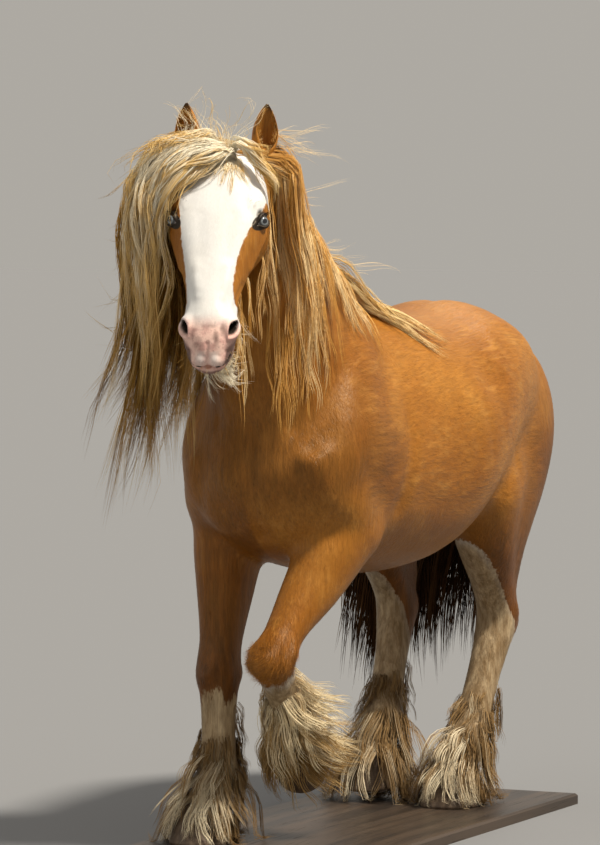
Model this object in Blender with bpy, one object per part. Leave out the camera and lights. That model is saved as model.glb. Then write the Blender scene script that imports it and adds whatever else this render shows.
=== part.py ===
"""A life-size gypsy vanner horse in a lively walk on its museum base, as solids.

Metres, +Z up. The horse faces -Y and its left is +X. It is built standing on the plane z = 0
with its breast near y = 0, and moved onto the base last.
"""
import math
import random

import bmesh
import bpy
import numpy as np
from mathutils import Matrix, Vector
from mathutils.bvhtree import BVHTree

# The base and the place of the horse on it
BASE_SIZE = (0.66, 1.56, 0.030)
BASE_EDGE = 0.006
HORSE_SHIFT = (0.0, -0.60, 0.0303)
CUT_GAP = 0.0003
VOXEL = 0.009

# Trunk: y, top, bottom, half width, widest share of the height, upper power, lower power
TRUNK = (
    (-0.045, 1.060, 0.930, 0.050, 0.50, 2.0, 2.0),
    (-0.020, 1.130, 0.860, 0.120, 0.50, 2.0, 2.0),
    (0.035, 1.200, 0.785, 0.200, 0.50, 2.1, 2.1),
    (0.130, 1.270, 0.730, 0.256, 0.48, 2.0, 2.1),
    (0.260, 1.345, 0.695, 0.270, 0.46, 1.8, 2.1),
    (0.420, 1.410, 0.672, 0.282, 0.42, 1.6, 2.1),
    (0.600, 1.385, 0.662, 0.300, 0.46, 1.9, 2.2),
    (0.790, 1.352, 0.678, 0.326, 0.50, 2.1, 2.2),
    (0.960, 1.362, 0.745, 0.316, 0.55, 2.1, 2.2),
    (1.120, 1.392, 0.830, 0.288, 0.56, 2.1, 2.2),
    (1.280, 1.362, 0.890, 0.250, 0.54, 2.1, 2.2),
    (1.390, 1.315, 0.930, 0.190, 0.50, 2.0, 2.1),
    (1.460, 1.262, 0.970, 0.120, 0.50, 2.0, 2.0),
    (1.495, 1.215, 1.020, 0.050, 0.50, 2.0, 2.0),
)
# Neck: crest (y, z), throat (y, z), x of centre, half width
NECK = (
    ((0.520, 1.300), (0.080, 0.880), 0.000, 0.180),
    ((0.410, 1.410), (-0.030, 1.040), 0.000, 0.190),
    ((0.285, 1.515), (-0.078, 1.190), 0.002, 0.165),
    ((0.150, 1.625), (-0.095, 1.325), 0.006, 0.138),
    ((0.015, 1.725), (-0.098, 1.445), 0.014, 0.116),
    ((-0.110, 1.785), (-0.090, 1.545), 0.025, 0.102),
    ((-0.205, 1.785), (-0.130, 1.610), 0.036, 0.086),
)
# Head: its poll, its turn to the left, its tilt from upright, and its roll
POLL = Vector((0.022, -0.230, 1.778))
HEAD_TURN = math.radians(18.4)
HEAD_TILT = math.radians(31.8)
HEAD_ROLL = math.radians(-2)
# Way down the face from the poll, face line, jaw line, half width, widest, upper, lower power
HEAD = (
    (-0.035, -0.035, -0.120, 0.045, 0.50, 2.0, 2.0),
    (-0.010, -0.005, -0.165, 0.082, 0.58, 2.0, 2.0),
    (0.050, 0.026, -0.205, 0.102, 0.66, 2.2, 1.9),
    (0.120, 0.042, -0.236, 0.118, 0.70, 2.5, 1.7),
    (0.205, 0.046, -0.240, 0.124, 0.70, 2.6, 1.6),
    (0.260, 0.043, -0.210, 0.112, 0.68, 2.6, 1.6),
    (0.320, 0.038, -0.160, 0.091, 0.62, 2.6, 1.7),
    (0.385, 0.034, -0.122, 0.074, 0.58, 2.5, 2.0),
    (0.445, 0.031, -0.108, 0.066, 0.55, 2.4, 2.2),
    (0.500, 0.026, -0.108, 0.069, 0.52, 2.3, 2.2),
    (0.555, 0.008, -0.106, 0.061, 0.48, 2.3, 2.2),
    (0.598, -0.026, -0.090, 0.041, 0.50, 2.2, 2.0),
)
EYE_RADIUS = 0.0205
EYE_PLACE = (0.1050, 0.212, -0.002)
LID_THICKNESS = 0.0038
EAR_PLACE = (0.088, -0.002, -0.045)
EAR_LENGTH = 0.145
EAR_WALL = 0.0050

# Legs: bone counted from the top, share of its length, reach in front, behind, half width
FORE = (
    (0, 0.00, 0.120, 0.180, 0.070),
    (0, 0.45, 0.140, 0.170, 0.088),
    (1, 0.02, 0.125, 0.135, 0.092),
    (1, 0.22, 0.104, 0.112, 0.088),
    (1, 0.50, 0.076, 0.078, 0.073),
    (1, 0.78, 0.055, 0.056, 0.058),
    (1, 0.93, 0.059, 0.054, 0.060),
    (2, 0.05, 0.061, 0.060, 0.061),
    (2, 0.20, 0.048, 0.054, 0.053),
    (2, 0.50, 0.041, 0.048, 0.047),
    (2, 0.80, 0.043, 0.054, 0.049),
    (2, 0.97, 0.055, 0.066, 0.057),
    (3, 0.45, 0.046, 0.054, 0.052),
    (3, 0.95, 0.056, 0.060, 0.062),
    (3, 1.25, 0.054, 0.054, 0.062),
)
HIND = (
    (0, 0.10, 0.120, 0.150, 0.090),
    (0, 0.60, 0.130, 0.160, 0.115),
    (0, 0.95, 0.100, 0.150, 0.115),
    (1, 0.20, 0.090, 0.130, 0.098),
    (1, 0.45, 0.073, 0.100, 0.080),
    (1, 0.70, 0.056, 0.078, 0.061),
    (1, 0.90, 0.056, 0.086, 0.056),
    (2, 0.05, 0.058, 0.086, 0.059),
    (2, 0.20, 0.052, 0.062, 0.054),
    (2, 0.50, 0.043, 0.049, 0.048),
    (2, 0.80, 0.045, 0.054, 0.050),
    (2, 0.97, 0.055, 0.066, 0.058),
    (3, 0.45, 0.046, 0.054, 0.053),
    (3, 0.95, 0.056, 0.060, 0.063),
    (3, 1.25, 0.054, 0.054, 0.063),
)
# The back of each thigh down to the hock: z, front y, back y, x of centre, half width
THIGH = (
    (1.290, 1.230, 1.360, 0.085, 0.055),
    (1.240, 1.170, 1.455, 0.100, 0.100),
    (1.150, 1.090, 1.510, 0.115, 0.126),
    (1.050, 1.030, 1.515, 0.128, 0.136),
    (0.950, 0.990, 1.470, 0.142, 0.132),
    (0.850, 0.980, 1.395, 0.155, 0.116),
    (0.760, 1.010, 1.335, 0.160, 0.092),
    (0.670, 1.080, 1.302, 0.158, 0.067),
    (0.590, 1.140, 1.290, 0.153, 0.050),
    (0.540, 1.180, 1.270, 0.150, 0.040),
)
# Joints of each leg from the top: shoulder or hip, elbow or stifle, knee or hock, fetlock, coronet
LEGS = {
    "foreleg_right": (FORE, ((-0.170, 0.090, 1.060), (-0.185, 0.225, 0.820),
                             (-0.180, 0.140, 0.430), (-0.176, 0.130, 0.165), (-0.176, 0.060, 0.085))),
    "foreleg_left": (FORE, ((0.150, 0.060, 1.060), (0.160, 0.200, 0.815),
                            (0.062, -0.050, 0.490), (0.022, 0.150, 0.335), (0.005, 0.195, 0.252))),
    "hindleg_left": (HIND, ((0.130, 1.250, 1.120), (0.175, 1.030, 0.850),
                            (0.150, 1.225, 0.500), (0.118, 1.075, 0.165), (0.112, 1.010, 0.085))),
    "hindleg_right": (HIND, ((-0.130, 1.250, 1.120), (-0.175, 1.010, 0.860),
                             (-0.150, 1.210, 0.530), (-0.138, 1.085, 0.215), (-0.136, 1.030, 0.130))),
}
# How far each sole is turned back from flat, in degrees
SOLE_TURN = {"foreleg_right": 0, "foreleg_left": 71, "hindleg_left": 0, "hindleg_right": 8}
HOOF_HEIGHT = 0.085
# Where the lower part of each leg begins, as a share of its cannon
LOWER_START = {"foreleg_right": 0.16, "foreleg_left": 0.32, "hindleg_left": 0.16, "hindleg_right": 0.16}
# Muscle masses on both sides: from, to, half thickness across, half depth
MUSCLES = (
    ((0.110, 0.330, 1.300), (0.202, 0.110, 0.990), 0.086, 0.140),
    ((0.175, 0.360, 1.090), (0.180, 0.275, 0.860), 0.072, 0.105),
    ((0.085, 0.060, 1.080), (0.100, 0.070, 0.830), 0.110, 0.085),
    ((0.110, 1.020, 1.260), (0.140, 1.300, 1.180), 0.135, 0.130),
    ((0.165, 1.130, 1.120), (0.190, 1.020, 0.840), 0.085, 0.105),
)
FLESH_TRIANGLES = 5600
HEAD_TRIANGLES, NECK_TRIANGLES, TAIL_TRIANGLES, FOOT_TRIANGLES = 3300, 3300, 2100, 1050

# Long hair: counts of locks, and the width and thickness of each kind of lock
SEED = 11
MANE_LOCKS = 34
MANE_LEFT_LOCKS = 7
FORELOCKS = 9
BEARD_LOCKS = 6
FEATHER_LOCKS = 18
TAIL_LOCKS = 26
LOCK_STEPS = 6
MANE_WIDTH, MANE_THICKNESS = 0.075, 0.022
FORELOCK_WIDTH, FORELOCK_THICKNESS = 0.036, 0.014
FEATHER_WIDTH, FEATHER_THICKNESS = 0.060, 0.020
TAIL_WIDTH, TAIL_THICKNESS = 0.085, 0.034
BEARD_WIDTH, BEARD_THICKNESS = 0.022, 0.010
ROOT_DEPTH = 0.016

# Colours and roughness of each kind of surface
COAT = ((0.43, 0.19, 0.06), 0.42)
LEG_COAT = ((0.30, 0.12, 0.04), 0.45)
WHITE_COAT = ((0.80, 0.74, 0.66), 0.55)
FLAX = ((0.72, 0.57, 0.36), 0.60)
FEATHER = ((0.66, 0.56, 0.42), 0.65)
TAIL_HAIR = ((0.16, 0.08, 0.04), 0.60)
HORN = ((0.24, 0.17, 0.11), 0.45)
EYE = ((0.25, 0.30, 0.34), 0.08)
BASE = ((0.10, 0.09, 0.085), 0.50)


def clear_scene():
    for thing in list(bpy.data.objects):
        bpy.data.objects.remove(thing)


def unit(v):
    return Vector(v).normalized()


def smooth_step(low, high, value):
    t = np.clip((value - low) / (high - low), 0, 1)
    return t * t * (3 - 2 * t)


def between(rows, steps):
    """Rows of numbers joined by one smooth curve, steps to each span."""
    rows = np.array(rows, float)
    padded = np.vstack((2 * rows[0] - rows[1], rows, 2 * rows[-1] - rows[-2]))
    made = []
    for i in range(1, len(padded) - 2):
        a, b, c, d = padded[i - 1:i + 3]
        for k in range(steps):
            t = k / steps
            made.append(0.5 * (2 * b + (c - a) * t + (2 * a - 5 * b + 4 * c - d) * t * t
                               + (3 * b - a - 3 * c + d) * t ** 3))
    made.append(rows[-1])
    return np.array(made)


def ring(top, bottom, side, half_width, widest, upper, lower, sides):
    """Points round a section from its top, its bottom and its half width."""
    rise = top - bottom
    middle = bottom + rise * widest
    side = side - rise * (side @ rise) / (rise @ rise)
    side = side / np.linalg.norm(side)
    points = []
    for i in range(sides):
        turn = 2 * math.pi * i / sides
        c, s = math.cos(turn), math.sin(turn)
        power = upper if s > 0 else lower
        reach = 1 - widest if s > 0 else widest
        across = math.copysign(abs(c) ** (2 / power), c)
        along = math.copysign(abs(s) ** (2 / power), s)
        points.append(middle + side * half_width * across + rise * reach * along)
    return points


def solid(name, corners, faces):
    shape = bmesh.new()
    made = [shape.verts.new(Vector(p)) for p in corners]
    for face in faces:
        shape.faces.new([made[i] for i in face])
    bmesh.ops.recalc_face_normals(shape, faces=shape.faces)
    mesh = bpy.data.meshes.new(name)
    shape.to_mesh(mesh)
    shape.free()
    thing = bpy.data.objects.new(name, mesh)
    bpy.context.scene.collection.objects.link(thing)
    return thing


def tube(name, rings):
    """A closed skin through rings of points, flat at both ends."""
    n = len(rings[0])
    faces = [tuple(reversed(range(n))), tuple(range((len(rings) - 1) * n, len(rings) * n))]
    for level in range(len(rings) - 1):
        low, high = level * n, (level + 1) * n
        faces += [(low + i, low + (i + 1) % n, high + (i + 1) % n, high + i) for i in range(n)]
    return solid(name, [p for points in rings for p in points], faces)


def loft(name, rows, steps=5, sides=28):
    """Rows: top xyz, bottom xyz, side xyz, half width, widest, upper power, lower power."""
    return tube(name, [ring(r[0:3], r[3:6], r[6:9], *r[9:13], sides) for r in between(rows, steps)])


def trunk():
    return loft("trunk", [(0, y, top, 0, y, low, 1, 0, 0, width, widest, up, down)
                          for y, top, low, width, widest, up, down in TRUNK])


def neck():
    return loft("neck", [(x, c[0], c[1], x, t[0], t[1], 1, 0, 0, width, 0.45, 1.8, 2.1)
                         for c, t, x, width in NECK])


def head_axes():
    ahead = Vector((math.sin(HEAD_TURN), -math.cos(HEAD_TURN), 0))
    down = ahead * math.sin(HEAD_TILT) - Vector((0, 0, math.cos(HEAD_TILT)))
    dorsal = ahead * math.cos(HEAD_TILT) + Vector((0, 0, math.sin(HEAD_TILT)))
    roll = Matrix.Rotation(HEAD_ROLL, 3, down)
    return roll @ dorsal.cross(down), down, roll @ dorsal


LEFT, DOWN, DORSAL = head_axes()
AHEAD = Vector((math.sin(HEAD_TURN), -math.cos(HEAD_TURN), 0))


def on_head(across, down, dorsal):
    """A point of the head: to its left, down the face from the poll, and out of the face."""
    return POLL + LEFT * across + DOWN * down + DORSAL * dorsal


def head():
    return loft("head", [(*on_head(0, d, top), *on_head(0, d, low), *LEFT, width, widest, up, down)
                         for d, top, low, width, widest, up, down in HEAD])


def leg(name, profile, joints):
    joints = [Vector(j) for j in joints]
    bones = [(b - a).normalized() for a, b in zip(joints, joints[1:])]
    side = Vector((1, 0, 0))
    rows = []
    for bone, t, front, back, width in profile:
        before = bones[max(bone - 1, 0)]
        after = bones[min(bone + 1, len(bones) - 1)]
        if t < 0.5:
            lie = ((before + bones[bone]) / 2).lerp(bones[bone], 2 * t)
        else:
            lie = bones[bone].lerp((after + bones[bone]) / 2, min(2 * t - 1, 1))
        ahead = lie.cross(side).normalized()
        centre = joints[bone].lerp(joints[bone + 1], t)
        rows.append((*(centre + ahead * front), *(centre - ahead * back), *side, width,
                     back / (front + back), 2.1, 2.1))
    return loft(name, rows, 4)


def thigh(sign):
    return loft("thigh", [(sign * x, front, z, sign * x, back, z, 1, 0, 0, width, 0.45, 2.1, 2.1)
                          for z, front, back, x, width in THIGH])


def ellipsoid(name, start, stop, across, deep):
    start, stop = Vector(start), Vector(stop)
    bpy.ops.mesh.primitive_uv_sphere_add(segments=28, ring_count=16, radius=1)
    ball = bpy.context.object
    ball.name = name
    z = unit(stop - start)
    x = Vector((1, 0, 0))
    x = unit(x - z * x.dot(z))
    turn = Matrix((x, z.cross(x), z)).transposed().to_4x4()
    size = Matrix.Diagonal((across, deep, (stop - start).length / 2 + 0.6 * deep, 1))
    ball.data.transform(Matrix.Translation((start + stop) / 2) @ turn @ size)
    return ball


def apply_modifier(thing, modifier):
    bpy.ops.object.select_all(action="DESELECT")
    bpy.context.view_layer.objects.active = thing
    thing.select_set(True)
    bpy.ops.object.modifier_apply(modifier=modifier.name)


def fuse(pieces, voxel):
    """Joins overlapping solids into one even skin."""
    bpy.ops.object.select_all(action="DESELECT")
    for piece in pieces:
        piece.select_set(True)
    bpy.context.view_layer.objects.active = pieces[0]
    bpy.ops.object.join()
    whole = bpy.context.view_layer.objects.active
    remesh = whole.modifiers.new("skin", "REMESH")
    remesh.mode = "VOXEL"
    remesh.voxel_size = voxel
    apply_modifier(whole, remesh)
    return whole


class Clay:
    """A mesh's points and edges as arrays, for brushes that move its points."""

    def __init__(self, thing):
        self.thing = thing
        mesh = thing.data
        count = len(mesh.vertices)
        self.co = np.empty(count * 3)
        mesh.vertices.foreach_get("co", self.co)
        self.co = self.co.reshape(-1, 3)
        ends = np.empty(len(mesh.edges) * 2, int)
        mesh.edges.foreach_get("vertices", ends)
        self.a, self.b = ends.reshape(-1, 2).T
        self.links = np.bincount(self.a, minlength=count) + np.bincount(self.b, minlength=count)

    def relax(self, weight, rounds):
        for _ in range(rounds):
            total = np.stack([np.bincount(self.a, self.co[self.b, k], len(self.co))
                              + np.bincount(self.b, self.co[self.a, k], len(self.co)) for k in range(3)], 1)
            self.co += (total / self.links[:, None] - self.co) * weight[:, None]

    def keep(self):
        self.thing.data.vertices.foreach_set("co", self.co.ravel())
        self.thing.data.update()

    def normals(self):
        self.keep()
        found = np.empty(len(self.co) * 3)
        self.thing.data.vertex_normals.foreach_get("vector", found)
        return found.reshape(-1, 3)


def swell(clay, centre, radius, height, along=None, stretch=1.0):
    """Raises the surface round a point. The brush can be longer along one way."""
    gap = clay.co - np.array(centre)
    if along is not None:
        along = np.array(along) / np.linalg.norm(along)
        gap = gap - np.outer(gap @ along, along) * (1 - 1 / stretch)
    weight = np.clip(1 - (gap ** 2).sum(1) / radius ** 2, 0, 1) ** 2
    clay.co += clay.normals() * (height * weight)[:, None]


def crease(clay, path, width, depth):
    """Presses a soft groove along a path, or raises a ridge with a negative depth."""
    path = [np.array(p) for p in path]
    gap = np.full(len(clay.co), 1e9)
    for a, b in zip(path, path[1:]):
        t = np.clip(((clay.co - a) @ (b - a)) / ((b - a) @ (b - a)), 0, 1)
        gap = np.minimum(gap, np.linalg.norm(clay.co - a - t[:, None] * (b - a), axis=1))
    clay.co -= clay.normals() * (depth * np.exp(-(gap / width) ** 2))[:, None]


def refine(thing, balls):
    """Halves the faces whose middle lies in one of the balls, each a centre and a radius."""
    shape = bmesh.new()
    shape.from_mesh(thing.data)
    edges = set()
    for face in shape.faces:
        middle = face.calc_center_median()
        if any((middle - centre).length < radius for centre, radius in balls):
            edges.update(face.edges)
    bmesh.ops.subdivide_edges(shape, edges=list(edges), cuts=1, use_grid_fill=True)
    shape.to_mesh(thing.data)
    shape.free()


def frame_at(point, outward, along):
    """A place on the head with its axes: outward, along, and across both."""
    out = outward.normalized()
    along = (along - out * along.dot(out)).normalized()
    across = out.cross(along)
    if across.dot(DORSAL) < 0:
        across = -across
    return np.array(point), np.array(out), np.array(along), np.array(across)


def eye_frame(sign):
    across, down, dorsal = EYE_PLACE
    return frame_at(on_head(sign * across, down, dorsal),
                    LEFT * sign * 0.86 + DORSAL * 0.42 + DOWN * 0.10, DOWN * 0.92 + DORSAL * 0.34)


def eyelids(clay, sign):
    """Lids as a shell round the eyeball, an almond opening between them and a fold above."""
    centre, out, along, across = eye_frame(sign)
    gap = clay.co - centre
    reach = np.linalg.norm(gap, axis=1)
    way = gap / reach[:, None]
    p, q, ahead = way @ along * EYE_RADIUS, way @ across * EYE_RADIUS, way @ out
    half_height = np.where(q > 0, 0.0125, 0.0105)
    opening = np.abs(q - 0.0005) / half_height + (p / 0.0188) ** 2
    cover = smooth_step(0.10, 0.62, ahead) * (reach < 0.07)
    inside = (1 - smooth_step(0.80, 1.10, opening)) * (ahead > 0.1) * (reach < 0.07)
    margin = 0.0012 * np.exp(-((opening - 1.30) / 0.20) ** 2)
    fold = 0.0028 * np.exp(-((opening - 2.05) / 0.28) ** 2) * (q > 0)
    aim = reach + (EYE_RADIUS + LID_THICKNESS + margin - fold - reach) * cover
    aim = aim + (EYE_RADIUS - 0.007 - aim) * inside
    clay.co = centre + way * aim[:, None]


def nostril(clay, sign):
    """A slanted comma with a soft rim and a hollow behind it."""
    centre, out, along, across = frame_at(
        on_head(sign * 0.052, 0.506, -0.014),
        LEFT * sign * 0.74 + DORSAL * 0.30 + DOWN * 0.56, DOWN * 0.70 - LEFT * sign * 0.72)
    gap = clay.co - centre
    p, q, r = gap @ along, gap @ across, gap @ out
    opening = np.abs(q + 9 * p * p - 0.002) / 0.0105 + (p / 0.0235) ** 2
    hollow = 1 - smooth_step(0.45, 1.0, opening)
    rim = np.exp(-((opening - 1.45) / 0.42) ** 2)
    here = (p * p + q * q < 0.05 ** 2) & (r > -0.03)
    clay.co += np.outer(np.where(here, 0.0045 * rim - 0.024 * hollow, 0), out)


def mouth_line(clay):
    half = [(0.058, 0.470, -0.066), (0.058, 0.520, -0.064), (0.046, 0.565, -0.062), (0.020, 0.592, -0.060)]
    path = [on_head(*p) for p in half] + [on_head(-a, d, o) for a, d, o in reversed(half)]
    crease(clay, path, 0.0050, 0.0090)


def sculpt_head(clay):
    for sign in (1, -1):
        swell(clay, on_head(sign * 0.108, 0.160, 0.018), 0.050, 0.009, DOWN, 1.3)
        swell(clay, on_head(sign * 0.085, 0.120, 0.036), 0.030, -0.007)
        swell(clay, on_head(sign * 0.078, 0.205, -0.130), 0.100, 0.012)
        crease(clay, [on_head(sign * 0.112, 0.235, -0.030), on_head(sign * 0.085, 0.330, -0.030)], 0.012, -0.006)
        crease(clay, [on_head(sign * 0.080, 0.330, -0.075), on_head(sign * 0.068, 0.430, -0.050)], 0.018, 0.004)
        swell(clay, on_head(sign * 0.060, 0.510, -0.012), 0.042, 0.011)
        swell(clay, on_head(sign * 0.045, 0.450, 0.020), 0.035, -0.005, DOWN, 1.6)
        swell(clay, on_head(sign * 0.030, 0.575, -0.030), 0.030, 0.006)
        nostril(clay, sign)
    swell(clay, on_head(0, 0.530, -0.112), 0.040, 0.010)
    swell(clay, on_head(0, 0.570, -0.080), 0.030, 0.006)
    mouth_line(clay)
    for sign in (1, -1):
        eyelids(clay, sign)


def flesh():
    """The whole body under the long hair, as one even skin."""
    pieces = [trunk(), neck(), head(), thigh(1), thigh(-1)]
    pieces += [leg(name, profile, joints) for name, (profile, joints) in LEGS.items()]
    for start, stop, across, deep in MUSCLES:
        for sign in (1, -1):
            flip = Vector((sign, 1, 1))
            pieces.append(ellipsoid("muscle", Vector(start) * flip, Vector(stop) * flip, across, deep))
    whole = fuse(pieces, VOXEL)
    clay = Clay(whole)
    body = np.clip((clay.co[:, 2] - 0.62) / 0.25, 0, 1) * np.clip((clay.co[:, 1] + 0.25) / 0.15, 0, 1)
    clay.relax(0.04 + 0.5 * body, 26)
    clay.relax(np.full(len(clay.co), 0.3), 3)
    clay.keep()
    refine(whole, [(on_head(0, 0.22, -0.06), 0.27), (on_head(0, 0.47, -0.04), 0.17)])
    clay = Clay(whole)
    face = smooth_step(-0.06, -0.01, (clay.co - np.array(POLL)) @ np.array(DOWN)) * (clay.co[:, 2] > 1.1)
    clay.relax(0.5 * face, 4)
    sculpt_head(clay)
    clay.relax(0.3 * face, 1)
    clay.keep()
    return whole


def thin_out(thing, triangles):
    """Fewer faces, more of them kept on the head and the feet than on the trunk."""
    group = thing.vertex_groups.new(name="broad")
    for vert in thing.data.vertices:
        p = vert.co
        on_face = (p - on_head(0, 0.30, -0.06)).length < 0.34
        group.add([vert.index], 0.35 if on_face else (0.5 if p.z < 0.6 else 1.0), "REPLACE")
    faces = sum(len(poly.vertices) - 2 for poly in thing.data.polygons)
    fewer = thing.modifiers.new("fewer", "DECIMATE")
    fewer.ratio = triangles / faces
    fewer.vertex_group = group.name
    fewer.use_collapse_triangulate = True
    apply_modifier(thing, fewer)
    thing.vertex_groups.clear()


def thin_hair(thing, triangles):
    """Fewer faces on a node that carries locks, which takes the slivers of the joins first."""
    keep_largest(thing)
    fewer = thing.modifiers.new("fewer", "DECIMATE")
    fewer.ratio = min(1, triangles / len(thing.data.polygons))
    fewer.use_collapse_triangulate = True
    apply_modifier(thing, fewer)


def block(frame, low, high, grow=0.0):
    """A box in its own frame, a place and three axes, grown on every side."""
    place, axes = frame
    low = [value - grow for value in low]
    high = [value + grow for value in high]
    corners = []
    for i in range(8):
        size = [high[k] if i >> k & 1 else low[k] for k in range(3)]
        corners.append(Vector(place) + axes[0] * size[0] + axes[1] * size[1] + axes[2] * size[2])
    faces = ((0, 1, 3, 2), (4, 6, 7, 5), (0, 4, 5, 1), (2, 3, 7, 6), (0, 2, 6, 4), (1, 5, 7, 3))
    return solid("cutter", corners, faces)


def floor_block():
    """All that lies under the plane the horse stands on."""
    return block(((0, 0.6, -0.2), (SIDE, BACK, UP)), (-0.8, -1.2, 0.0), (0.8, 1.2, 0.2))


def boolean(thing, other, operation):
    """Joins or cuts a solid with another one, which is used up."""
    act = thing.modifiers.new("act", "BOOLEAN")
    act.operation = operation
    act.object = other
    act.solver = "MANIFOLD"
    apply_modifier(thing, act)
    bpy.data.objects.remove(other)


def copy_of(thing, name):
    other = thing.copy()
    other.data = thing.data.copy()
    other.name = name
    bpy.context.scene.collection.objects.link(other)
    return other


def all_triangles(shape):
    """Triangles only, with a middle point in each face whose diagonal would double an edge."""
    for _ in range(4):
        trial = shape.copy()
        bmesh.ops.triangulate(trial, faces=trial.faces)
        doubled = [{v.index for v in edge.verts} for edge in trial.edges if len(edge.link_faces) != 2]
        trial.free()
        wide = [face for face in shape.faces if len(face.verts) > 3]
        faces = [face for face in wide if any(pair <= {v.index for v in face.verts} for pair in doubled)]
        if not faces:
            break
        bmesh.ops.poke(shape, faces=faces)
        shape.verts.index_update()
    bmesh.ops.triangulate(shape, faces=shape.faces)


def keep_largest(thing):
    """Drops every loose crumb but the largest closed surface."""
    shape = bmesh.new()
    shape.from_mesh(thing.data)
    all_triangles(shape)
    left = set(shape.verts)
    groups = []
    while left:
        front = [left.pop()]
        group = set(front)
        while front:
            for edge in front.pop().link_edges:
                for vert in edge.verts:
                    if vert in left:
                        left.discard(vert)
                        group.add(vert)
                        front.append(vert)
        groups.append(group)
    largest = max(groups, key=len)
    bmesh.ops.delete(shape, geom=[v for group in groups if group is not largest for v in group], context="VERTS")
    shape.to_mesh(thing.data)
    shape.free()


SIDE = Vector((1, 0, 0))
BACK = Vector((0, 1, 0))
UP = Vector((0, 0, 1))


def tilted(normal):
    """Axes with the third one along a way that has no sideways part."""
    normal = unit(normal)
    return SIDE, normal.cross(SIDE), normal


def leg_regions():
    """The boxes that part the legs: frame, low corner and high corner of each."""
    regions = {}
    for name, (_, joints) in LEGS.items():
        sign = 1 if "left" in name else -1
        joints = [Vector(j) for j in joints]
        if "fore" in name:
            frame = ((0, 0.05, 0.630), (Vector((sign, 0, 0.8)), BACK, UP))
            low, high = (-0.04 * sign, -0.35, -0.70), (0.40, 0.35, 0.0)
        else:
            frame = ((0.175 * sign, 0.880, 0.700), tilted((0, -0.22, 0.52)))
            low, high = (-0.160, 0.0, -0.70), (0.20, 0.75, 0.0)
        regions[name] = (frame, low, high)
        cannon = unit(joints[3] - joints[2])
        start = joints[2].lerp(joints[3], LOWER_START[name])
        regions[name + "_lower"] = ((start, tilted(cannon)), (-0.115, -0.25, 0.0), (0.115, 0.25, 0.60))
        ground, _ = sole_axes(name)
        band = unit(unit(joints[4] - joints[3]) + ground)
        regions[name + "_hoof"] = ((joints[4], tilted(band)), (-0.12, -0.2, 0.0), (0.12, 0.2, 0.3))
    return regions


def sole_axes(name):
    """The way out of a sole and the way to its toe."""
    turn = Matrix.Rotation(math.radians(SOLE_TURN[name]), 3, "X")
    return turn @ Vector((0, 0, -1)), turn @ Vector((0, -1, 0))


def hoof(name):
    """A horn wall that widens from the coronet down to a flat sole."""
    _, joints = LEGS[name]
    coronet, fetlock = Vector(joints[4]), Vector(joints[3])
    ground, toe = sole_axes(name)
    band = unit(unit(coronet - fetlock) + ground)
    top_toe = unit(toe - band * toe.dot(band))
    top = coronet + band * CUT_GAP
    sole = coronet + ground * HOOF_HEIGHT + toe * 0.030
    rings = []
    for t, swelling in ((0.0, 1.0), (0.12, 1.06), (0.55, 1.06), (1.0, 1.08)):
        centre = top.lerp(sole, t)
        way = top_toe.lerp(toe, t)
        half_width = (0.063 + 0.015 * t) * (swelling if 0 < t < 1 else 1)
        ahead = (0.060 + 0.025 * t) * (swelling if 0 < t < 1 else 1)
        behind = 0.062 + 0.006 * t
        points = []
        for i in range(20):
            c, s = math.cos(math.pi * i / 10), math.sin(math.pi * i / 10)
            reach = ahead if s > 0 else behind * (1 - 0.12 * (abs(c) < 0.35))
            points.append(centre + SIDE * half_width * math.copysign(abs(c) ** 0.9, c) + way * reach * s)
        rings.append(points)
    return tube(name + "_hoof", rings)


def ear(sign):
    """A pointed cup that opens forward and a little outward."""
    across, down, dorsal = EAR_PLACE
    root = on_head(sign * across, down, dorsal)
    rise = unit(-DOWN * 0.80 + DORSAL * 0.42 + LEFT * sign * 0.10)
    mouth = unit(DORSAL * 0.80 + LEFT * sign * 0.45 + DOWN * 0.30)
    mouth = unit(mouth - rise * mouth.dot(rise))
    wide = rise.cross(mouth)
    # share of the length, half width, depth, half opening in degrees
    rows = between(((0.00, 0.024, 0.024, 4), (0.14, 0.027, 0.027, 14), (0.30, 0.033, 0.029, 40),
                    (0.50, 0.034, 0.025, 58), (0.70, 0.027, 0.018, 66), (0.88, 0.015, 0.009, 68),
                    (1.00, 0.003, 0.003, 70)), 1)
    rings = []
    for t, width, depth, half_open in rows:
        bend = 0.016 * t * t
        centre = root + rise * (EAR_LENGTH * t) - LEFT * sign * bend + DORSAL * (bend * 0.3)
        start = math.radians(half_open)
        angles = [start + (2 * math.pi - 2 * start) * k / 8 for k in range(9)]
        wall = min(EAR_WALL, 0.6 * width)
        outer = [(width * math.sin(a), depth * math.cos(a)) for a in angles]
        inner = [((width - wall) * math.sin(a), (depth - wall) * math.cos(a)) for a in reversed(angles)]
        rings.append([centre + wide * x + mouth * y for x, y in outer + inner])
    return tube("ear_left" if sign > 0 else "ear_right", rings)


def ear_stub(sign):
    across, down, dorsal = EAR_PLACE
    root = on_head(sign * across, down, dorsal)
    rise = unit(-DOWN * 0.80 + DORSAL * 0.42 + LEFT * sign * 0.10)
    return ellipsoid("stub", root - rise * 0.035, root + rise * 0.012, 0.024, 0.024)


def ball(name, centre, radius, segments=18, rings=10):
    bpy.ops.mesh.primitive_uv_sphere_add(segments=segments, ring_count=rings, radius=radius, location=centre)
    thing = bpy.context.object
    thing.name = name
    thing.data.transform(thing.matrix_world)
    thing.matrix_world = Matrix.Identity(4)
    return thing


def grown(thing, amount, name="cutter"):
    """A copy with every point pushed out along its normal."""
    other = copy_of(thing, name)
    clay = Clay(other)
    clay.co += clay.normals() * amount
    clay.keep()
    return other


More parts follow.
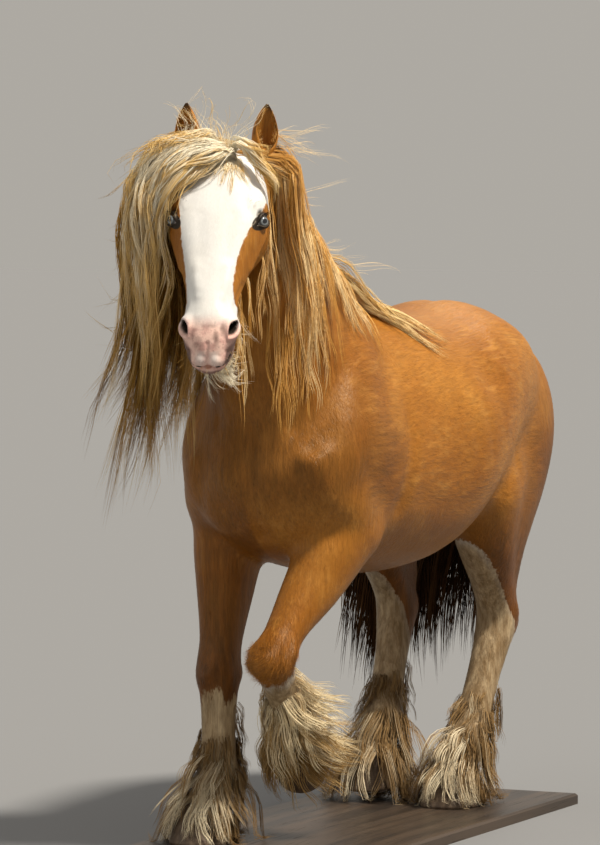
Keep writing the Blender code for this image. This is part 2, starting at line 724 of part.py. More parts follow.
class Skin:
    """The surface that hair is laid on."""

    def __init__(self, things):
        corners, faces = [], []
        for thing in things:
            start = len(corners)
            corners += [v.co.copy() for v in thing.data.vertices]
            faces += [[start + i for i in poly.vertices] for poly in thing.data.polygons]
        self.tree = BVHTree.FromPolygons(corners, faces)

    def nearest(self, point):
        place, normal, _, gap = self.tree.find_nearest(point)
        return place, normal, gap

    def clear(self, point, gap):
        """The point itself, or the nearest one that stands out of the skin by the gap."""
        place, normal, _ = self.nearest(point)
        return place + normal * gap if (point - place).dot(normal) < gap else point


def strand(skin, root, leave, fall, length, bend, gap, wave=0.0, phase=0.0, fence=None, low=0.006):
    """Points of a lock. It leaves one way, bends to another over a length, and keeps off the skin."""
    step = length / LOCK_STEPS
    place, normal, _ = skin.nearest(root)
    points = [place - normal * ROOT_DEPTH]
    point = place
    for k in range(LOCK_STEPS):
        done = (k + 0.5) * step
        way = unit(leave).lerp(unit(fall), float(smooth_step(0, bend, done)))
        swing = unit(way.cross(UP) if abs(way.z) < 0.95 else BACK)
        way = unit(way) + swing * wave * math.sin(6.3 * (1.3 * (k + 1) / LOCK_STEPS + phase))
        point = skin.clear(point + unit(way) * step, gap * (0.4 + 0.6 * min(1, k / 2)))
        if fence is not None:
            short = (point - fence[0]).dot(fence[1])
            if short < gap:
                point = point + fence[1] * (gap - short)
        point.z = max(point.z, low)
        points.append(point)
    return points


def lock(skin, points, width, thickness, flat):
    """A flat lock with a thin lens section that widens from its root and tapers to its tip."""
    rings = []
    for k, point in enumerate(points[:-1]):
        t = k / (len(points) - 1)
        way = unit(points[k + 1] - points[max(k - 1, 0)])
        _, normal, gap = skin.nearest(point)
        out = normal.lerp(flat, min(1, gap / 0.08))
        across = unit(way.cross(out))
        out = across.cross(way)
        spread = (0.75 + 0.8 * t) if t < 0.32 else max(0.16, 1 - ((t - 0.32) / 0.68) ** 1.6 * 0.84)
        half, deep = width / 2 * spread, thickness / 2 * min(1, spread + 0.15)
        rings.append([point - across * half, point + out * deep, point + across * half, point - out * deep])
    corners = [p for points_round in rings for p in points_round] + [points[-1]]
    tip = len(corners) - 1
    faces = [(3, 2, 1, 0)]
    for level in range(len(rings) - 1):
        low, high = level * 4, level * 4 + 4
        faces += [(low + i, low + (i + 1) % 4, high + (i + 1) % 4, high + i) for i in range(4)]
    last = (len(rings) - 1) * 4
    faces += [(last + i, last + (i + 1) % 4, tip) for i in range(4)]
    return solid("lock", corners, faces)


def add_locks(thing, locks):
    """Joins all the locks to the node they grow from."""
    bundle = bpy.data.collections.new("locks")
    bpy.context.scene.collection.children.link(bundle)
    for piece in locks:
        bundle.objects.link(piece)
        bpy.context.scene.collection.objects.unlink(piece)
    join = thing.modifiers.new("join", "BOOLEAN")
    join.operation = "UNION"
    join.operand_type = "COLLECTION"
    join.collection = bundle
    join.solver = "MANIFOLD"
    apply_modifier(thing, join)
    for piece in locks:
        bpy.data.objects.remove(piece)
    bpy.data.collections.remove(bundle)


def crest(share):
    """A point of the crest from the poll, 0, to the withers, 1."""
    rows = sorted((c[0], c[1], x) for c, _, x, _ in NECK[1:])
    y = -0.19 + 0.59 * share
    z = np.interp(y, [r[0] for r in rows], [r[1] for r in rows])
    x = np.interp(y, [r[0] for r in rows], [r[2] for r in rows])
    return Vector((x, y, z))


def crest_core():
    """A low ridge of hair along the crest that the mane's roots stand in."""
    rows = []
    for share, half, rise in ((0.03, 0.030, 0.020), (0.12, 0.050, 0.032), (0.45, 0.052, 0.034),
                              (0.80, 0.044, 0.026), (1.02, 0.016, 0.012)):
        middle = crest(share) - UP * 0.012
        rows.append((*(middle + UP * rise), *(middle - UP * rise), *SIDE, half, 0.5, 2.0, 2.0))
    return loft("mane", rows, 3, 12)


def mane_locks(skin, rng):
    """Long locks from the crest, carried out over the right side, and a few on the left."""
    made = []
    fence = (Vector((POLL.x, POLL.y + 0.105, POLL.z)), -AHEAD)
    for i in range(MANE_LOCKS):
        share = min(1, max(0, (i + rng.uniform(-0.3, 0.3)) / (MANE_LOCKS - 1)))
        outer = (i % 3) / 2
        root = crest(share) + Vector((-0.004 - 0.030 * (1 - outer), 0, 0.0))
        leave = Vector((-0.95, -0.15 + 0.25 * share, 0.02 + 0.20 * outer))
        fall = Vector((-0.16 - 0.10 * rng.random(), -0.22 + 0.42 * share, -1))
        length = (0.80 - 0.30 * share ** 2) * rng.uniform(0.86, 1.08) + 0.10 * outer
        bend = (0.16 + 0.26 * outer) * (1 - 0.35 * share)
        points = strand(skin, root, leave, fall, length, bend, 0.020 + 0.018 * outer,
                        rng.uniform(0.10, 0.22), rng.random(), fence)
        flat = unit((-1, -0.35 + 0.3 * share, 0.1))
        made.append(lock(skin, points, MANE_WIDTH * rng.uniform(0.8, 1.15), MANE_THICKNESS, flat))
    for i in range(MANE_LEFT_LOCKS):
        share = 0.04 + 0.80 * i / (MANE_LEFT_LOCKS - 1)
        root = crest(share) + Vector((0.020, 0, 0))
        points = strand(skin, root, Vector((0.9, 0.1, 0.1)), Vector((0.12, 0.10 + 0.1 * share, -1)),
                        rng.uniform(0.34, 0.46) * (1 - 0.3 * share), 0.10, 0.014, 0.12, rng.random(), fence)
        made.append(lock(skin, points, MANE_WIDTH * 0.7, MANE_THICKNESS * 0.8, unit((1, -0.2, 0.2))))
    for share, length, back in ((0.90, 0.56, 0.80), (0.97, 0.44, 0.95)):
        points = strand(skin, crest(share) + Vector((0.012, 0, 0)), Vector((0.5, 0.5, 0.3)),
                        Vector((0.30, back, -0.55)), length, 0.12, 0.016, 0.06, 0.3, fence)
        made.append(lock(skin, points, MANE_WIDTH * 0.9, MANE_THICKNESS, unit((0.7, 0, 0.7))))
    return made


def forelocks(skin, rng):
    """Locks from between the ears, most of them swept over the brow to the right."""
    made = []
    fence = (Vector((POLL.x, POLL.y + 0.100, POLL.z)), AHEAD)
    for i in range(FORELOCKS):
        share = i / (FORELOCKS - 1)
        if i % 4 == 3:
            root = on_head(0.030 + 0.008 * (i % 3), 0.000, 0.03)
            leave = LEFT * 0.5 + DORSAL * 0.3 + DOWN * 0.6
            fall = LEFT * (0.34 - 0.20 * share) + DOWN * 0.95
            length = rng.uniform(0.20, 0.26)
            flat = unit(LEFT * 0.5 + DORSAL)
        else:
            root = on_head(0.030 - 0.050 * share, -0.020 + 0.02 * share, 0.03)
            leave = -LEFT * 0.85 + DORSAL * 0.35 + DOWN * 0.45 * (1 - share)
            fall = -LEFT * (0.42 - 0.1 * share) - UP * 0.95 + DOWN * 0.2
            length = rng.uniform(0.40, 0.52)
            flat = unit(DORSAL * 0.8 - LEFT * 0.5)
        points = strand(skin, root, leave, fall, length, 0.30, 0.010 + 0.006 * (i % 3),
                        rng.uniform(0.06, 0.14), rng.random(), fence)
        made.append(lock(skin, points, FORELOCK_WIDTH * rng.uniform(0.85, 1.15), FORELOCK_THICKNESS, flat))
    return made


def beard_locks(skin, rng):
    made = []
    for i in range(BEARD_LOCKS):
        share = i / (BEARD_LOCKS - 1)
        sign = -1 if i % 2 else 1
        root = on_head(sign * 0.022, 0.27 + 0.14 * share, -0.20 + 0.08 * share)
        points = strand(skin, root, -DORSAL - UP * 0.4, -UP * 0.9 + LEFT * 0.3 * sign - AHEAD * 0.25,
                        rng.uniform(0.085, 0.125) * (1.1 - 0.4 * share), 0.08, 0.006, 0.1, rng.random())
        made.append(lock(skin, points, BEARD_WIDTH, BEARD_THICKNESS, unit(-DORSAL)))
    return made


def feather_locks(skin, name, rng):
    """Leg hair from the back of the cannon and all round the fetlock, over the foot."""
    _, joints = LEGS[name]
    joints = [Vector(j) for j in joints]
    ground, toe = sole_axes(name)
    raised = SOLE_TURN[name] > 30
    made = []
    behind = int(FEATHER_LOCKS * 0.5)
    for i in range(FEATHER_LOCKS):
        if i < behind:
            up = i / behind
            centre = joints[2].lerp(joints[3], 0.34 + 0.62 * up)
            turn = math.pi + (0.95 - 0.2 * up) * (0, 1, -1)[i % 3] * rng.uniform(0.75, 1.0)
            lie = unit(joints[3] - joints[2])
            length = rng.uniform(0.17, 0.21)
        else:
            centre = joints[3].lerp(joints[4], 0.30 + 0.25 * (i % 2))
            turn = 2 * math.pi * (i - behind) / (FEATHER_LOCKS - behind) + rng.uniform(-0.15, 0.15)
            lie = unit(joints[4] - joints[3])
            length = rng.uniform(0.13, 0.155) + 0.012 * (1 - math.cos(turn))
        ahead = unit(toe - lie * toe.dot(lie))
        way = SIDE * math.sin(turn) + ahead * math.cos(turn)
        leave, fall = way * 0.55 + lie, way * 0.30 - UP
        if raised:
            leave, fall = way * 0.5 + lie * 0.8, way * 0.30 + Vector((0.12, 0.62, -0.62))
        points = strand(skin, centre + way * 0.08, leave, fall, length, length * 0.6,
                        0.012, 0.10, rng.random(), None, 0.008)
        made.append(lock(skin, points, FEATHER_WIDTH * rng.uniform(0.85, 1.15), FEATHER_THICKNESS, way))
    return made


def dock():
    """The tail's root, the core that its locks grow from."""
    rows = []
    for y, z, half in ((1.430, 1.282, 0.026), (1.485, 1.280, 0.030), (1.530, 1.245, 0.030), (1.552, 1.160, 0.028),
                       (1.556, 1.050, 0.022), (1.556, 0.960, 0.010)):
        back = unit((0, 0.35, 1)) if z > 1.26 else unit((0, 1, 0.35 * (z > 1.2)))
        middle = Vector((-0.03 * (1.28 - z), y, z))
        rows.append((*(middle + back * half), *(middle - back * half), *SIDE, half, 0.5, 2.0, 2.0))
    return loft("tail", rows, 2, 12)


def tail_locks(skin, core, rng):
    """Locks round the dock, falling and swung to the right."""
    made = []
    for i in range(TAIL_LOCKS):
        share = i / (TAIL_LOCKS - 1)
        turn = 2.4 * i
        z = 1.265 - 0.25 * share
        centre = Vector((-0.03 * (1.28 - z), 1.552 - 0.06 * (z > 1.25), z))
        way = Vector((0.8 * math.sin(turn), 0.40 + 0.6 * math.cos(turn), 0.1))
        side = math.sin(turn) * 0.5 + 0.5
        fall = Vector((-0.44 + 0.36 * side, -0.03 - 0.07 * (math.cos(turn) < 0), -1))
        length = rng.uniform(0.78, 0.98) - 0.10 * side
        points = strand(core, centre + way * 0.01, way * 0.5 - UP * 0.6 - SIDE * 0.25, fall, length, 0.14,
                        0.004, rng.uniform(0.08, 0.18), rng.random(), None, 0.05)
        points = [points[0]] + [skin.clear(p, 0.030) for p in points[1:]]
        made.append(lock(core, points, TAIL_WIDTH * rng.uniform(0.8, 1.15), TAIL_THICKNESS, unit(way + BACK)))
    return made


def base():
    """The plate under the feet, with a small chamfer round its top."""
    half_x, half_y, top = BASE_SIZE[0] / 2, BASE_SIZE[1] / 2, BASE_SIZE[2]
    rings = []
    for inset, z in ((0.0, 0.0), (0.0, top - BASE_EDGE), (BASE_EDGE, top)):
        x, y = half_x - inset, half_y - inset
        rings.append([(x, y, z), (-x, y, z), (-x, -y, z), (x, -y, z)])
    return tube("stand_base", rings)


def material(name, look):
    colour, roughness = look
    made = bpy.data.materials.new(name)
    made.use_nodes = True
    shader = made.node_tree.nodes["Principled BSDF"]
    shader.inputs["Base Color"].default_value = (*colour, 1)
    shader.inputs["Roughness"].default_value = roughness
    made.diffuse_color = (*colour, 1)
    return made


def part_body(whole):
    """Cuts the body into its nodes with thin gaps between them."""
    head_frame = ((POLL.x, POLL.y + 0.105, POLL.z), (AHEAD.cross(UP), AHEAD, UP))
    neck_frame = ((0, -0.08, 1.10), tilted((0, -0.34, 0.48)))
    regions = {"head": (head_frame, (-0.5, 0.0, -0.60), (0.5, 0.8, 0.3)),
               "neck": (neck_frame, (-0.5, -0.8, 0.0), (0.5, 0.9, 1.2))}
    regions.update(leg_regions())
    inner = {"neck": ["head"], "torso": ["head", "neck"] + list(LEGS)}
    for name in LEGS:
        inner[name] = [name + "_lower"]
        inner[name + "_lower"] = [name + "_hoof"]
    nodes = {}
    for name in ["torso", "neck", "head"] + list(LEGS) + [name + "_lower" for name in LEGS]:
        piece = copy_of(whole, name)
        if name in regions:
            boolean(piece, block(*regions[name]), "INTERSECT")
        for other in inner.get(name, ()):
            boolean(piece, block(*regions[other], grow=CUT_GAP), "DIFFERENCE")
        keep_largest(piece)
        nodes[name] = piece
    return nodes


def build():
    clear_scene()
    rng = random.Random(SEED)
    whole = flesh()
    for sign in (1, -1):
        boolean(whole, ear_stub(sign), "UNION")
    thin_out(whole, FLESH_TRIANGLES)
    hooves = {name: hoof(name) for name in LEGS}
    skin = Skin([whole] + list(hooves.values()))
    nodes = part_body(whole)
    bpy.data.objects.remove(whole)
    looks = {"torso": COAT, "neck": FLAX, "head": WHITE_COAT, "tail": TAIL_HAIR}
    for sign, side in ((1, "left"), (-1, "right")):
        centre = eye_frame(sign)[0]
        boolean(nodes["head"], ball("socket", centre, EYE_RADIUS + CUT_GAP), "DIFFERENCE")
        nodes["eye_" + side] = ball("eye_" + side, centre, EYE_RADIUS)
        looks["eye_" + side] = EYE
        nodes["ear_" + side] = ear(sign)
        looks["ear_" + side] = COAT
    add_locks(nodes["head"], forelocks(skin, rng) + beard_locks(skin, rng))
    thin_hair(nodes["head"], HEAD_TRIANGLES)
    for side in ("left", "right"):
        boolean(nodes["ear_" + side], grown(nodes["head"], CUT_GAP), "DIFFERENCE")
    add_locks(nodes["neck"], [crest_core()] + mane_locks(skin, rng))
    thin_hair(nodes["neck"], NECK_TRIANGLES)
    for name in ("torso", "head", "ear_left", "ear_right"):
        boolean(nodes["neck"], grown(nodes[name], CUT_GAP), "DIFFERENCE")
    nodes["tail"] = dock()
    core = Skin([nodes["tail"]])
    add_locks(nodes["tail"], tail_locks(skin, core, rng))
    thin_hair(nodes["tail"], TAIL_TRIANGLES)
    boolean(nodes["tail"], grown(nodes["torso"], CUT_GAP), "DIFFERENCE")
    for name in LEGS:
        looks[name] = LEG_COAT
        looks[name + "_lower"] = FEATHER
        looks[name + "_hoof"] = HORN
        nodes[name + "_hoof"] = hooves[name]
        add_locks(nodes[name + "_lower"], feather_locks(skin, name, rng))
        thin_hair(nodes[name + "_lower"], FOOT_TRIANGLES)
        boolean(nodes[name + "_lower"], grown(nodes[name + "_hoof"], CUT_GAP), "DIFFERENCE")
        boolean(nodes[name + "_lower"], grown(nodes[name], CUT_GAP), "DIFFERENCE")
        boolean(nodes[name + "_lower"], floor_block(), "DIFFERENCE")
    for thing in nodes.values():
        keep_largest(thing)
        thing.data.transform(Matrix.Translation(HORSE_SHIFT))
    nodes["stand_base"] = base()
    looks["stand_base"] = BASE
    for name, thing in nodes.items():
        thing.name = name
        thing.data.name = name
        thing.data.materials.clear()
        thing.data.materials.append(material(name, looks[name]))


build()
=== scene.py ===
"""Looks of a life-size gypsy vanner horse on its museum base.

Metres, +Z up. The horse faces -Y and its left is +X. It is modelled standing on the plane z = 0,
as its solids are, and each piece is moved onto the base when it is finished.
"""
import math
import random

import bmesh
import bpy
import numpy as np
from mathutils import Matrix, Vector
from mathutils.bvhtree import BVHTree


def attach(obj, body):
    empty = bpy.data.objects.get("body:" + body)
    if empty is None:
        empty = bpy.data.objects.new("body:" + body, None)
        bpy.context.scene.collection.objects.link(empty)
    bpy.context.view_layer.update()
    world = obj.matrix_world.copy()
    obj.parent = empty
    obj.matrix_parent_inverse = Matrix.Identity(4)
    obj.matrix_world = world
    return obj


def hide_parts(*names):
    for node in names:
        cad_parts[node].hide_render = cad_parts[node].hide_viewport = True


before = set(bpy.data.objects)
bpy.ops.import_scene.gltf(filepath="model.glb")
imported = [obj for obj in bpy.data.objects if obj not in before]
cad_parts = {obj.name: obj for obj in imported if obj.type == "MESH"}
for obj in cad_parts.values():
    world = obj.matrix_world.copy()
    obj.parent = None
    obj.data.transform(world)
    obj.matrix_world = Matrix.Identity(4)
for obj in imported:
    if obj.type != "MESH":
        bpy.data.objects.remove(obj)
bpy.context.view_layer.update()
bpy.ops.object.select_all(action="DESELECT")

# Trunk: y, top, bottom, half width, widest share of the height, upper power, lower power
TRUNK = (
    (-0.045, 1.060, 0.930, 0.050, 0.50, 2.0, 2.0),
    (-0.020, 1.130, 0.860, 0.120, 0.50, 2.0, 2.0),
    (0.035, 1.200, 0.785, 0.200, 0.50, 2.1, 2.1),
    (0.130, 1.270, 0.730, 0.256, 0.48, 2.0, 2.1),
    (0.260, 1.345, 0.695, 0.270, 0.46, 1.8, 2.1),
    (0.420, 1.410, 0.672, 0.282, 0.42, 1.6, 2.1),
    (0.600, 1.385, 0.662, 0.300, 0.46, 1.9, 2.2),
    (0.790, 1.352, 0.678, 0.326, 0.50, 2.1, 2.2),
    (0.960, 1.362, 0.745, 0.316, 0.55, 2.1, 2.2),
    (1.120, 1.392, 0.830, 0.288, 0.56, 2.1, 2.2),
    (1.280, 1.362, 0.890, 0.250, 0.54, 2.1, 2.2),
    (1.390, 1.315, 0.930, 0.190, 0.50, 2.0, 2.1),
    (1.460, 1.262, 0.970, 0.120, 0.50, 2.0, 2.0),
    (1.495, 1.215, 1.020, 0.050, 0.50, 2.0, 2.0),
)
# Neck: crest (y, z), throat (y, z), x of centre, half width
NECK = (
    ((0.520, 1.300), (0.080, 0.880), 0.000, 0.180),
    ((0.410, 1.410), (-0.030, 1.040), 0.000, 0.190),
    ((0.285, 1.515), (-0.078, 1.190), 0.002, 0.165),
    ((0.150, 1.625), (-0.095, 1.325), 0.006, 0.138),
    ((0.015, 1.725), (-0.098, 1.445), 0.014, 0.116),
    ((-0.110, 1.785), (-0.090, 1.545), 0.025, 0.102),
    ((-0.205, 1.785), (-0.130, 1.610), 0.036, 0.086),
)
# Head: its poll, its turn to the left, its tilt from upright, and its roll
POLL = Vector((0.022, -0.230, 1.778))
HEAD_TURN = math.radians(18.4)
HEAD_TILT = math.radians(31.8)
HEAD_ROLL = math.radians(-2)
# Way down the face from the poll, face line, jaw line, half width, widest, upper, lower power
HEAD = (
    (-0.035, -0.035, -0.120, 0.045, 0.50, 2.0, 2.0),
    (-0.010, -0.005, -0.165, 0.082, 0.58, 2.0, 2.0),
    (0.050, 0.026, -0.205, 0.102, 0.66, 2.2, 1.9),
    (0.120, 0.042, -0.236, 0.118, 0.70, 2.5, 1.7),
    (0.205, 0.046, -0.240, 0.124, 0.70, 2.6, 1.6),
    (0.260, 0.043, -0.210, 0.112, 0.68, 2.6, 1.6),
    (0.320, 0.038, -0.160, 0.091, 0.62, 2.6, 1.7),
    (0.385, 0.034, -0.122, 0.074, 0.58, 2.5, 2.0),
    (0.445, 0.031, -0.108, 0.066, 0.55, 2.4, 2.2),
    (0.500, 0.026, -0.108, 0.069, 0.52, 2.3, 2.2),
    (0.555, 0.008, -0.106, 0.061, 0.48, 2.3, 2.2),
    (0.598, -0.026, -0.090, 0.041, 0.50, 2.2, 2.0),
)
EYE_RADIUS = 0.0205
EYE_PLACE = (0.1050, 0.212, -0.002)
LID_THICKNESS = 0.0038
EAR_PLACE = (0.088, -0.002, -0.045)
EAR_LENGTH = 0.137
EAR_BEND = 0.016
EAR_WALL = 0.0044
EAR_SIDES = 26
# Ears: share of the length, half width, half depth, half of the opening in degrees
EAR = (
    (0.00, 0.024, 0.024, 4), (0.14, 0.027, 0.027, 14), (0.30, 0.033, 0.029, 40), (0.50, 0.034, 0.025, 58),
    (0.70, 0.027, 0.018, 66), (0.88, 0.015, 0.009, 68), (1.00, 0.003, 0.003, 70),
)
HAIRY_EAR = [EAR[k] for k in (0, 2, 3, 4, 5)]
# Legs: bone counted from the top, share of its length, reach in front, behind, half width
FORE = (
    (0, 0.00, 0.120, 0.180, 0.070),
    (0, 0.45, 0.140, 0.170, 0.088),
    (1, 0.02, 0.125, 0.135, 0.092),
    (1, 0.22, 0.104, 0.112, 0.088),
    (1, 0.50, 0.076, 0.078, 0.073),
    (1, 0.78, 0.055, 0.056, 0.058),
    (1, 0.93, 0.059, 0.054, 0.060),
    (2, 0.05, 0.061, 0.060, 0.061),
    (2, 0.20, 0.048, 0.054, 0.053),
    (2, 0.50, 0.041, 0.048, 0.047),
    (2, 0.80, 0.043, 0.054, 0.049),
    (2, 0.97, 0.055, 0.066, 0.057),
    (3, 0.45, 0.046, 0.054, 0.052),
    (3, 0.95, 0.056, 0.060, 0.062),
    (3, 1.25, 0.054, 0.054, 0.062),
)
HIND = (
    (0, 0.10, 0.120, 0.150, 0.090),
    (0, 0.60, 0.130, 0.160, 0.115),
    (0, 0.95, 0.100, 0.150, 0.115),
    (1, 0.20, 0.090, 0.130, 0.098),
    (1, 0.45, 0.073, 0.100, 0.080),
    (1, 0.70, 0.056, 0.078, 0.061),
    (1, 0.90, 0.056, 0.086, 0.056),
    (2, 0.05, 0.058, 0.086, 0.059),
    (2, 0.20, 0.052, 0.062, 0.054),
    (2, 0.50, 0.043, 0.049, 0.048),
    (2, 0.80, 0.045, 0.054, 0.050),
    (2, 0.97, 0.055, 0.066, 0.058),
    (3, 0.45, 0.046, 0.054, 0.053),
    (3, 0.95, 0.056, 0.060, 0.063),
    (3, 1.25, 0.054, 0.054, 0.063),
)
# The back of each thigh down to the hock: z, front y, back y, x of centre, half width
THIGH = (
    (1.290, 1.230, 1.360, 0.085, 0.055),
    (1.240, 1.170, 1.455, 0.100, 0.100),
    (1.150, 1.090, 1.510, 0.115, 0.126),
    (1.050, 1.030, 1.515, 0.128, 0.136),
    (0.950, 0.990, 1.470, 0.142, 0.132),
    (0.850, 0.980, 1.395, 0.155, 0.116),
    (0.760, 1.010, 1.335, 0.160, 0.092),
    (0.670, 1.080, 1.302, 0.158, 0.067),
    (0.590, 1.140, 1.290, 0.153, 0.050),
    (0.540, 1.180, 1.270, 0.150, 0.040),
)
# Joints of each leg from the top: shoulder or hip, elbow or stifle, knee or hock, fetlock, coronet
LEGS = {
    "foreleg_right": (FORE, ((-0.170, 0.090, 1.060), (-0.185, 0.225, 0.820),
                             (-0.180, 0.140, 0.430), (-0.176, 0.130, 0.165), (-0.176, 0.060, 0.085))),
    "foreleg_left": (FORE, ((0.150, 0.060, 1.060), (0.160, 0.200, 0.815),
                            (0.062, -0.050, 0.490), (0.022, 0.150, 0.335), (0.005, 0.195, 0.252))),
    "hindleg_left": (HIND, ((0.130, 1.250, 1.120), (0.175, 1.030, 0.850),
                            (0.150, 1.225, 0.500), (0.118, 1.075, 0.165), (0.112, 1.010, 0.085))),
    "hindleg_right": (HIND, ((-0.130, 1.250, 1.120), (-0.175, 1.010, 0.860),
                             (-0.150, 1.210, 0.530), (-0.138, 1.085, 0.215), (-0.136, 1.030, 0.130))),
}
# How far each sole is turned back from flat, in degrees
SOLE_TURN = {"foreleg_right": 0, "foreleg_left": 71, "hindleg_left": 0, "hindleg_right": 8}
# How pale the hair over each foot is, against the palest; the right hind's low value is painted shade, as
# that foot stands in shadow
FOOT_PALENESS_AND_SHADE = {"foreleg_right": 0.9, "foreleg_left": 1.0, "hindleg_left": 1.0, "hindleg_right": 0.35}
HOOF_HEIGHT = 0.085
HOOF_SIDES, HOOF_RINGS = 56, 15
# The sole's rings: share of the hoof's width, height inside, depth of the notch between the heels
SOLE = ((0.86, 0.0, 0.16), (0.80, 0.006, 0.22), (0.50, 0.009, 0.40), (0.06, 0.009, 0.40))
# Muscle masses on both sides: from, to, half thickness across, half depth
MUSCLES = (
    ((0.110, 0.330, 1.300), (0.202, 0.110, 0.990), 0.086, 0.140),
    ((0.175, 0.360, 1.090), (0.180, 0.275, 0.860), 0.072, 0.105),
    ((0.085, 0.060, 1.080), (0.100, 0.070, 0.830), 0.110, 0.085),
    ((0.110, 1.020, 1.260), (0.140, 1.300, 1.180), 0.135, 0.130),
    ((0.165, 1.130, 1.120), (0.190, 1.020, 0.840), 0.085, 0.105),
)
# Relief of the skin. A row with one point is a swelling: its point, radius and height, and how much
# longer it is down the face. A row with more points is a groove along them: its width and depth
# Muscle borders and folds that both sides of the body have
BODY_SIDES = (
    (((0.232, 0.2, 1.05),), 0.13, 0.012),
    (((0.214, 0.13, 0.88),), 0.085, 0.01),
    (((0.262, 0.4, 1.22), (0.272, 0.375, 1.04), (0.25, 0.33, 0.86)), 0.03, 0.009),
    (((0.15, 0.2, 1.33), (0.225, 0.14, 1.13), (0.19, 0.02, 1.0)), 0.02, 0.004),
    (((0.088, -0.055, 1.4), (0.112, -0.03, 1.22), (0.105, -0.02, 1.08)), 0.016, 0.006),
    (((0.078, -0.015, 0.945),), 0.08, 0.01),
    (((0.16, -0.01, 1.02), (0.172, 0.01, 0.88)), 0.02, 0.005),
    (((0.215, 1.01, 1.315),), 0.09, 0.004),
    (((0.215, 1.01, 1.3), (0.272, 0.95, 1.19), (0.292, 0.9, 1.05), (0.268, 0.89, 0.93)),
     0.024, -0.004),
    (((0.305, 0.85, 1.19),), 0.1, -0.014),
    (((0.19, 1.335, 1.23), (0.225, 1.37, 1.06), (0.215, 1.31, 0.88)), 0.022, 0.004),
    (((0.275, 1.02, 1.06), (0.262, 1.08, 0.9)), 0.022, 0.005),
    (((0.215, 0.955, 0.85),), 0.06, 0.008),
    (((0.288, 0.44, 0.88), (0.3, 0.62, 0.83), (0.285, 0.8, 0.87)), 0.03, 0.003),
    *((((0.318, y, 1.12), (0.322, y + 0.03, 0.98)), 0.016, 0.0014) for y in (0.52, 0.6, 0.68, 0.76)),
)
# Grooves down the middle of the breast, rump and back, and the raised knee's cap
BODY_MIDDLE = (
    (((0, -0.045, 1.08), (0, -0.02, 0.93), (0, 0.03, 0.79)), 0.018, 0.01),
    (((0, 1.1, 1.4), (0, 1.28, 1.37), (0, 1.43, 1.29)), 0.022, 0.007),
    (((0, 0.56, 1.395), (0, 0.8, 1.36), (0, 1.0, 1.37)), 0.02, 0.003),
    (((0.07, -0.075, 0.49),), 0.1, 0.012),
)
# Bones and hollows of the head, as points to its side, down the face and out of the face
HEAD_SIDES = (
    (((0.108, 0.16, 0.018),), 0.05, 0.009, 1.3),
    (((0.085, 0.12, 0.036),), 0.03, -0.007),
    (((0.078, 0.205, -0.13),), 0.1, 0.012),
    (((0.112, 0.235, -0.03), (0.085, 0.33, -0.03)), 0.012, -0.006),
    (((0.1, 0.3, -0.08), (0.08, 0.35, -0.072), (0.068, 0.43, -0.05)), 0.018, 0.007),
    (((0.06, 0.51, -0.012),), 0.042, 0.011),
    (((0.045, 0.45, 0.02),), 0.035, -0.005, 1.6),
    (((0.05, 0.568, -0.03),), 0.026, -0.005),
    (((0.018, 0.59, -0.036),), 0.021, 0.0075),
)
HEAD_MIDDLE = (
    (((0, 0.53, -0.112),), 0.04, 0.01),
    (((0, 0.592, -0.08),), 0.034, 0.006),
)
# Fine folds and veins of the face
FACE_SIDES = (
    (((0.04, 0.22, 0.044), (0.036, 0.275, 0.042), (0.034, 0.33, 0.038)), 0.017, 0.0022),
    (((0.04, 0.36, 0.03), (0.036, 0.44, 0.024)), 0.012, -0.0025),
    (((0.07, 0.385, -0.02), (0.066, 0.455, -0.006)), 0.01, 0.0045),
    (((0.066, 0.43, -0.04), (0.064, 0.47, -0.036), (0.062, 0.505, -0.044)), 0.006, 0.0026),
    (((0.108, 0.13, -0.08), (0.118, 0.2, -0.15), (0.1, 0.26, -0.165)), 0.014, -0.003),
    *((((0.058, d - 0.012, -0.048), (0.046, d, -0.028)), 0.0035, 0.0012) for d in (0.535, 0.552, 0.568)),
    (((0.045, 0.25, -0.205), (0.034, 0.4, -0.115)), 0.012, 0.003),
)
FACE_MIDDLE = (
    (((0, 0.562, 0.002), (0, 0.59, -0.03), (0, 0.598, -0.055)), 0.0045, 0.003),
    (((-0.03, 0.56, -0.092), (0, 0.572, -0.096), (0.03, 0.56, -0.092)), 0.005, 0.002),
)
# The gap between the lips, from its left corner to the middle
LIPS = ((0.062, 0.5, -0.066), (0.06, 0.535, -0.058), (0.05, 0.566, -0.054), (0.034, 0.586, -0.055),
        (0.015, 0.595, -0.056))
LIP_WIDTH, LIP_DEPTH = 0.005, 0.015
# The tail's root: y, z, half thickness
DOCK = ((1.43, 1.282, 0.026), (1.485, 1.28, 0.029), (1.53, 1.245, 0.029), (1.552, 1.16, 0.027),
        (1.556, 1.05, 0.021), (1.556, 0.96, 0.009))
HORSE_SHIFT = (0.0, -0.6, 0.0303)
SIDE = Vector((1, 0, 0))
BACK = Vector((0, 1, 0))
UP = Vector((0, 0, 1))
VOXEL = 0.0115
COAT_DEPTH = 0.0015
# The height from which the short coat counts as the trunk's or the neck's
LEG_TOP = 0.7
# The plane behind the face, where the hair of the neck stops
FACE_BACK = (POLL.x, POLL.y + 0.105, POLL.z)
# The blaze: way down the face, then its reach to the left and to the right
BLAZE = (
    (-0.02, 0.03, 0.02), (0.04, 0.09, 0.065), (0.1, 0.116, 0.092), (0.15, 0.12, 0.1),
    (0.21, 0.104, 0.092), (0.245, 0.084, 0.087), (0.295, 0.067, 0.081), (0.35, 0.056, 0.07),
    (0.4, 0.052, 0.064), (0.44, 0.057, 0.061), (0.47, 0.09, 0.09), (0.5, 0.2, 0.2),
)
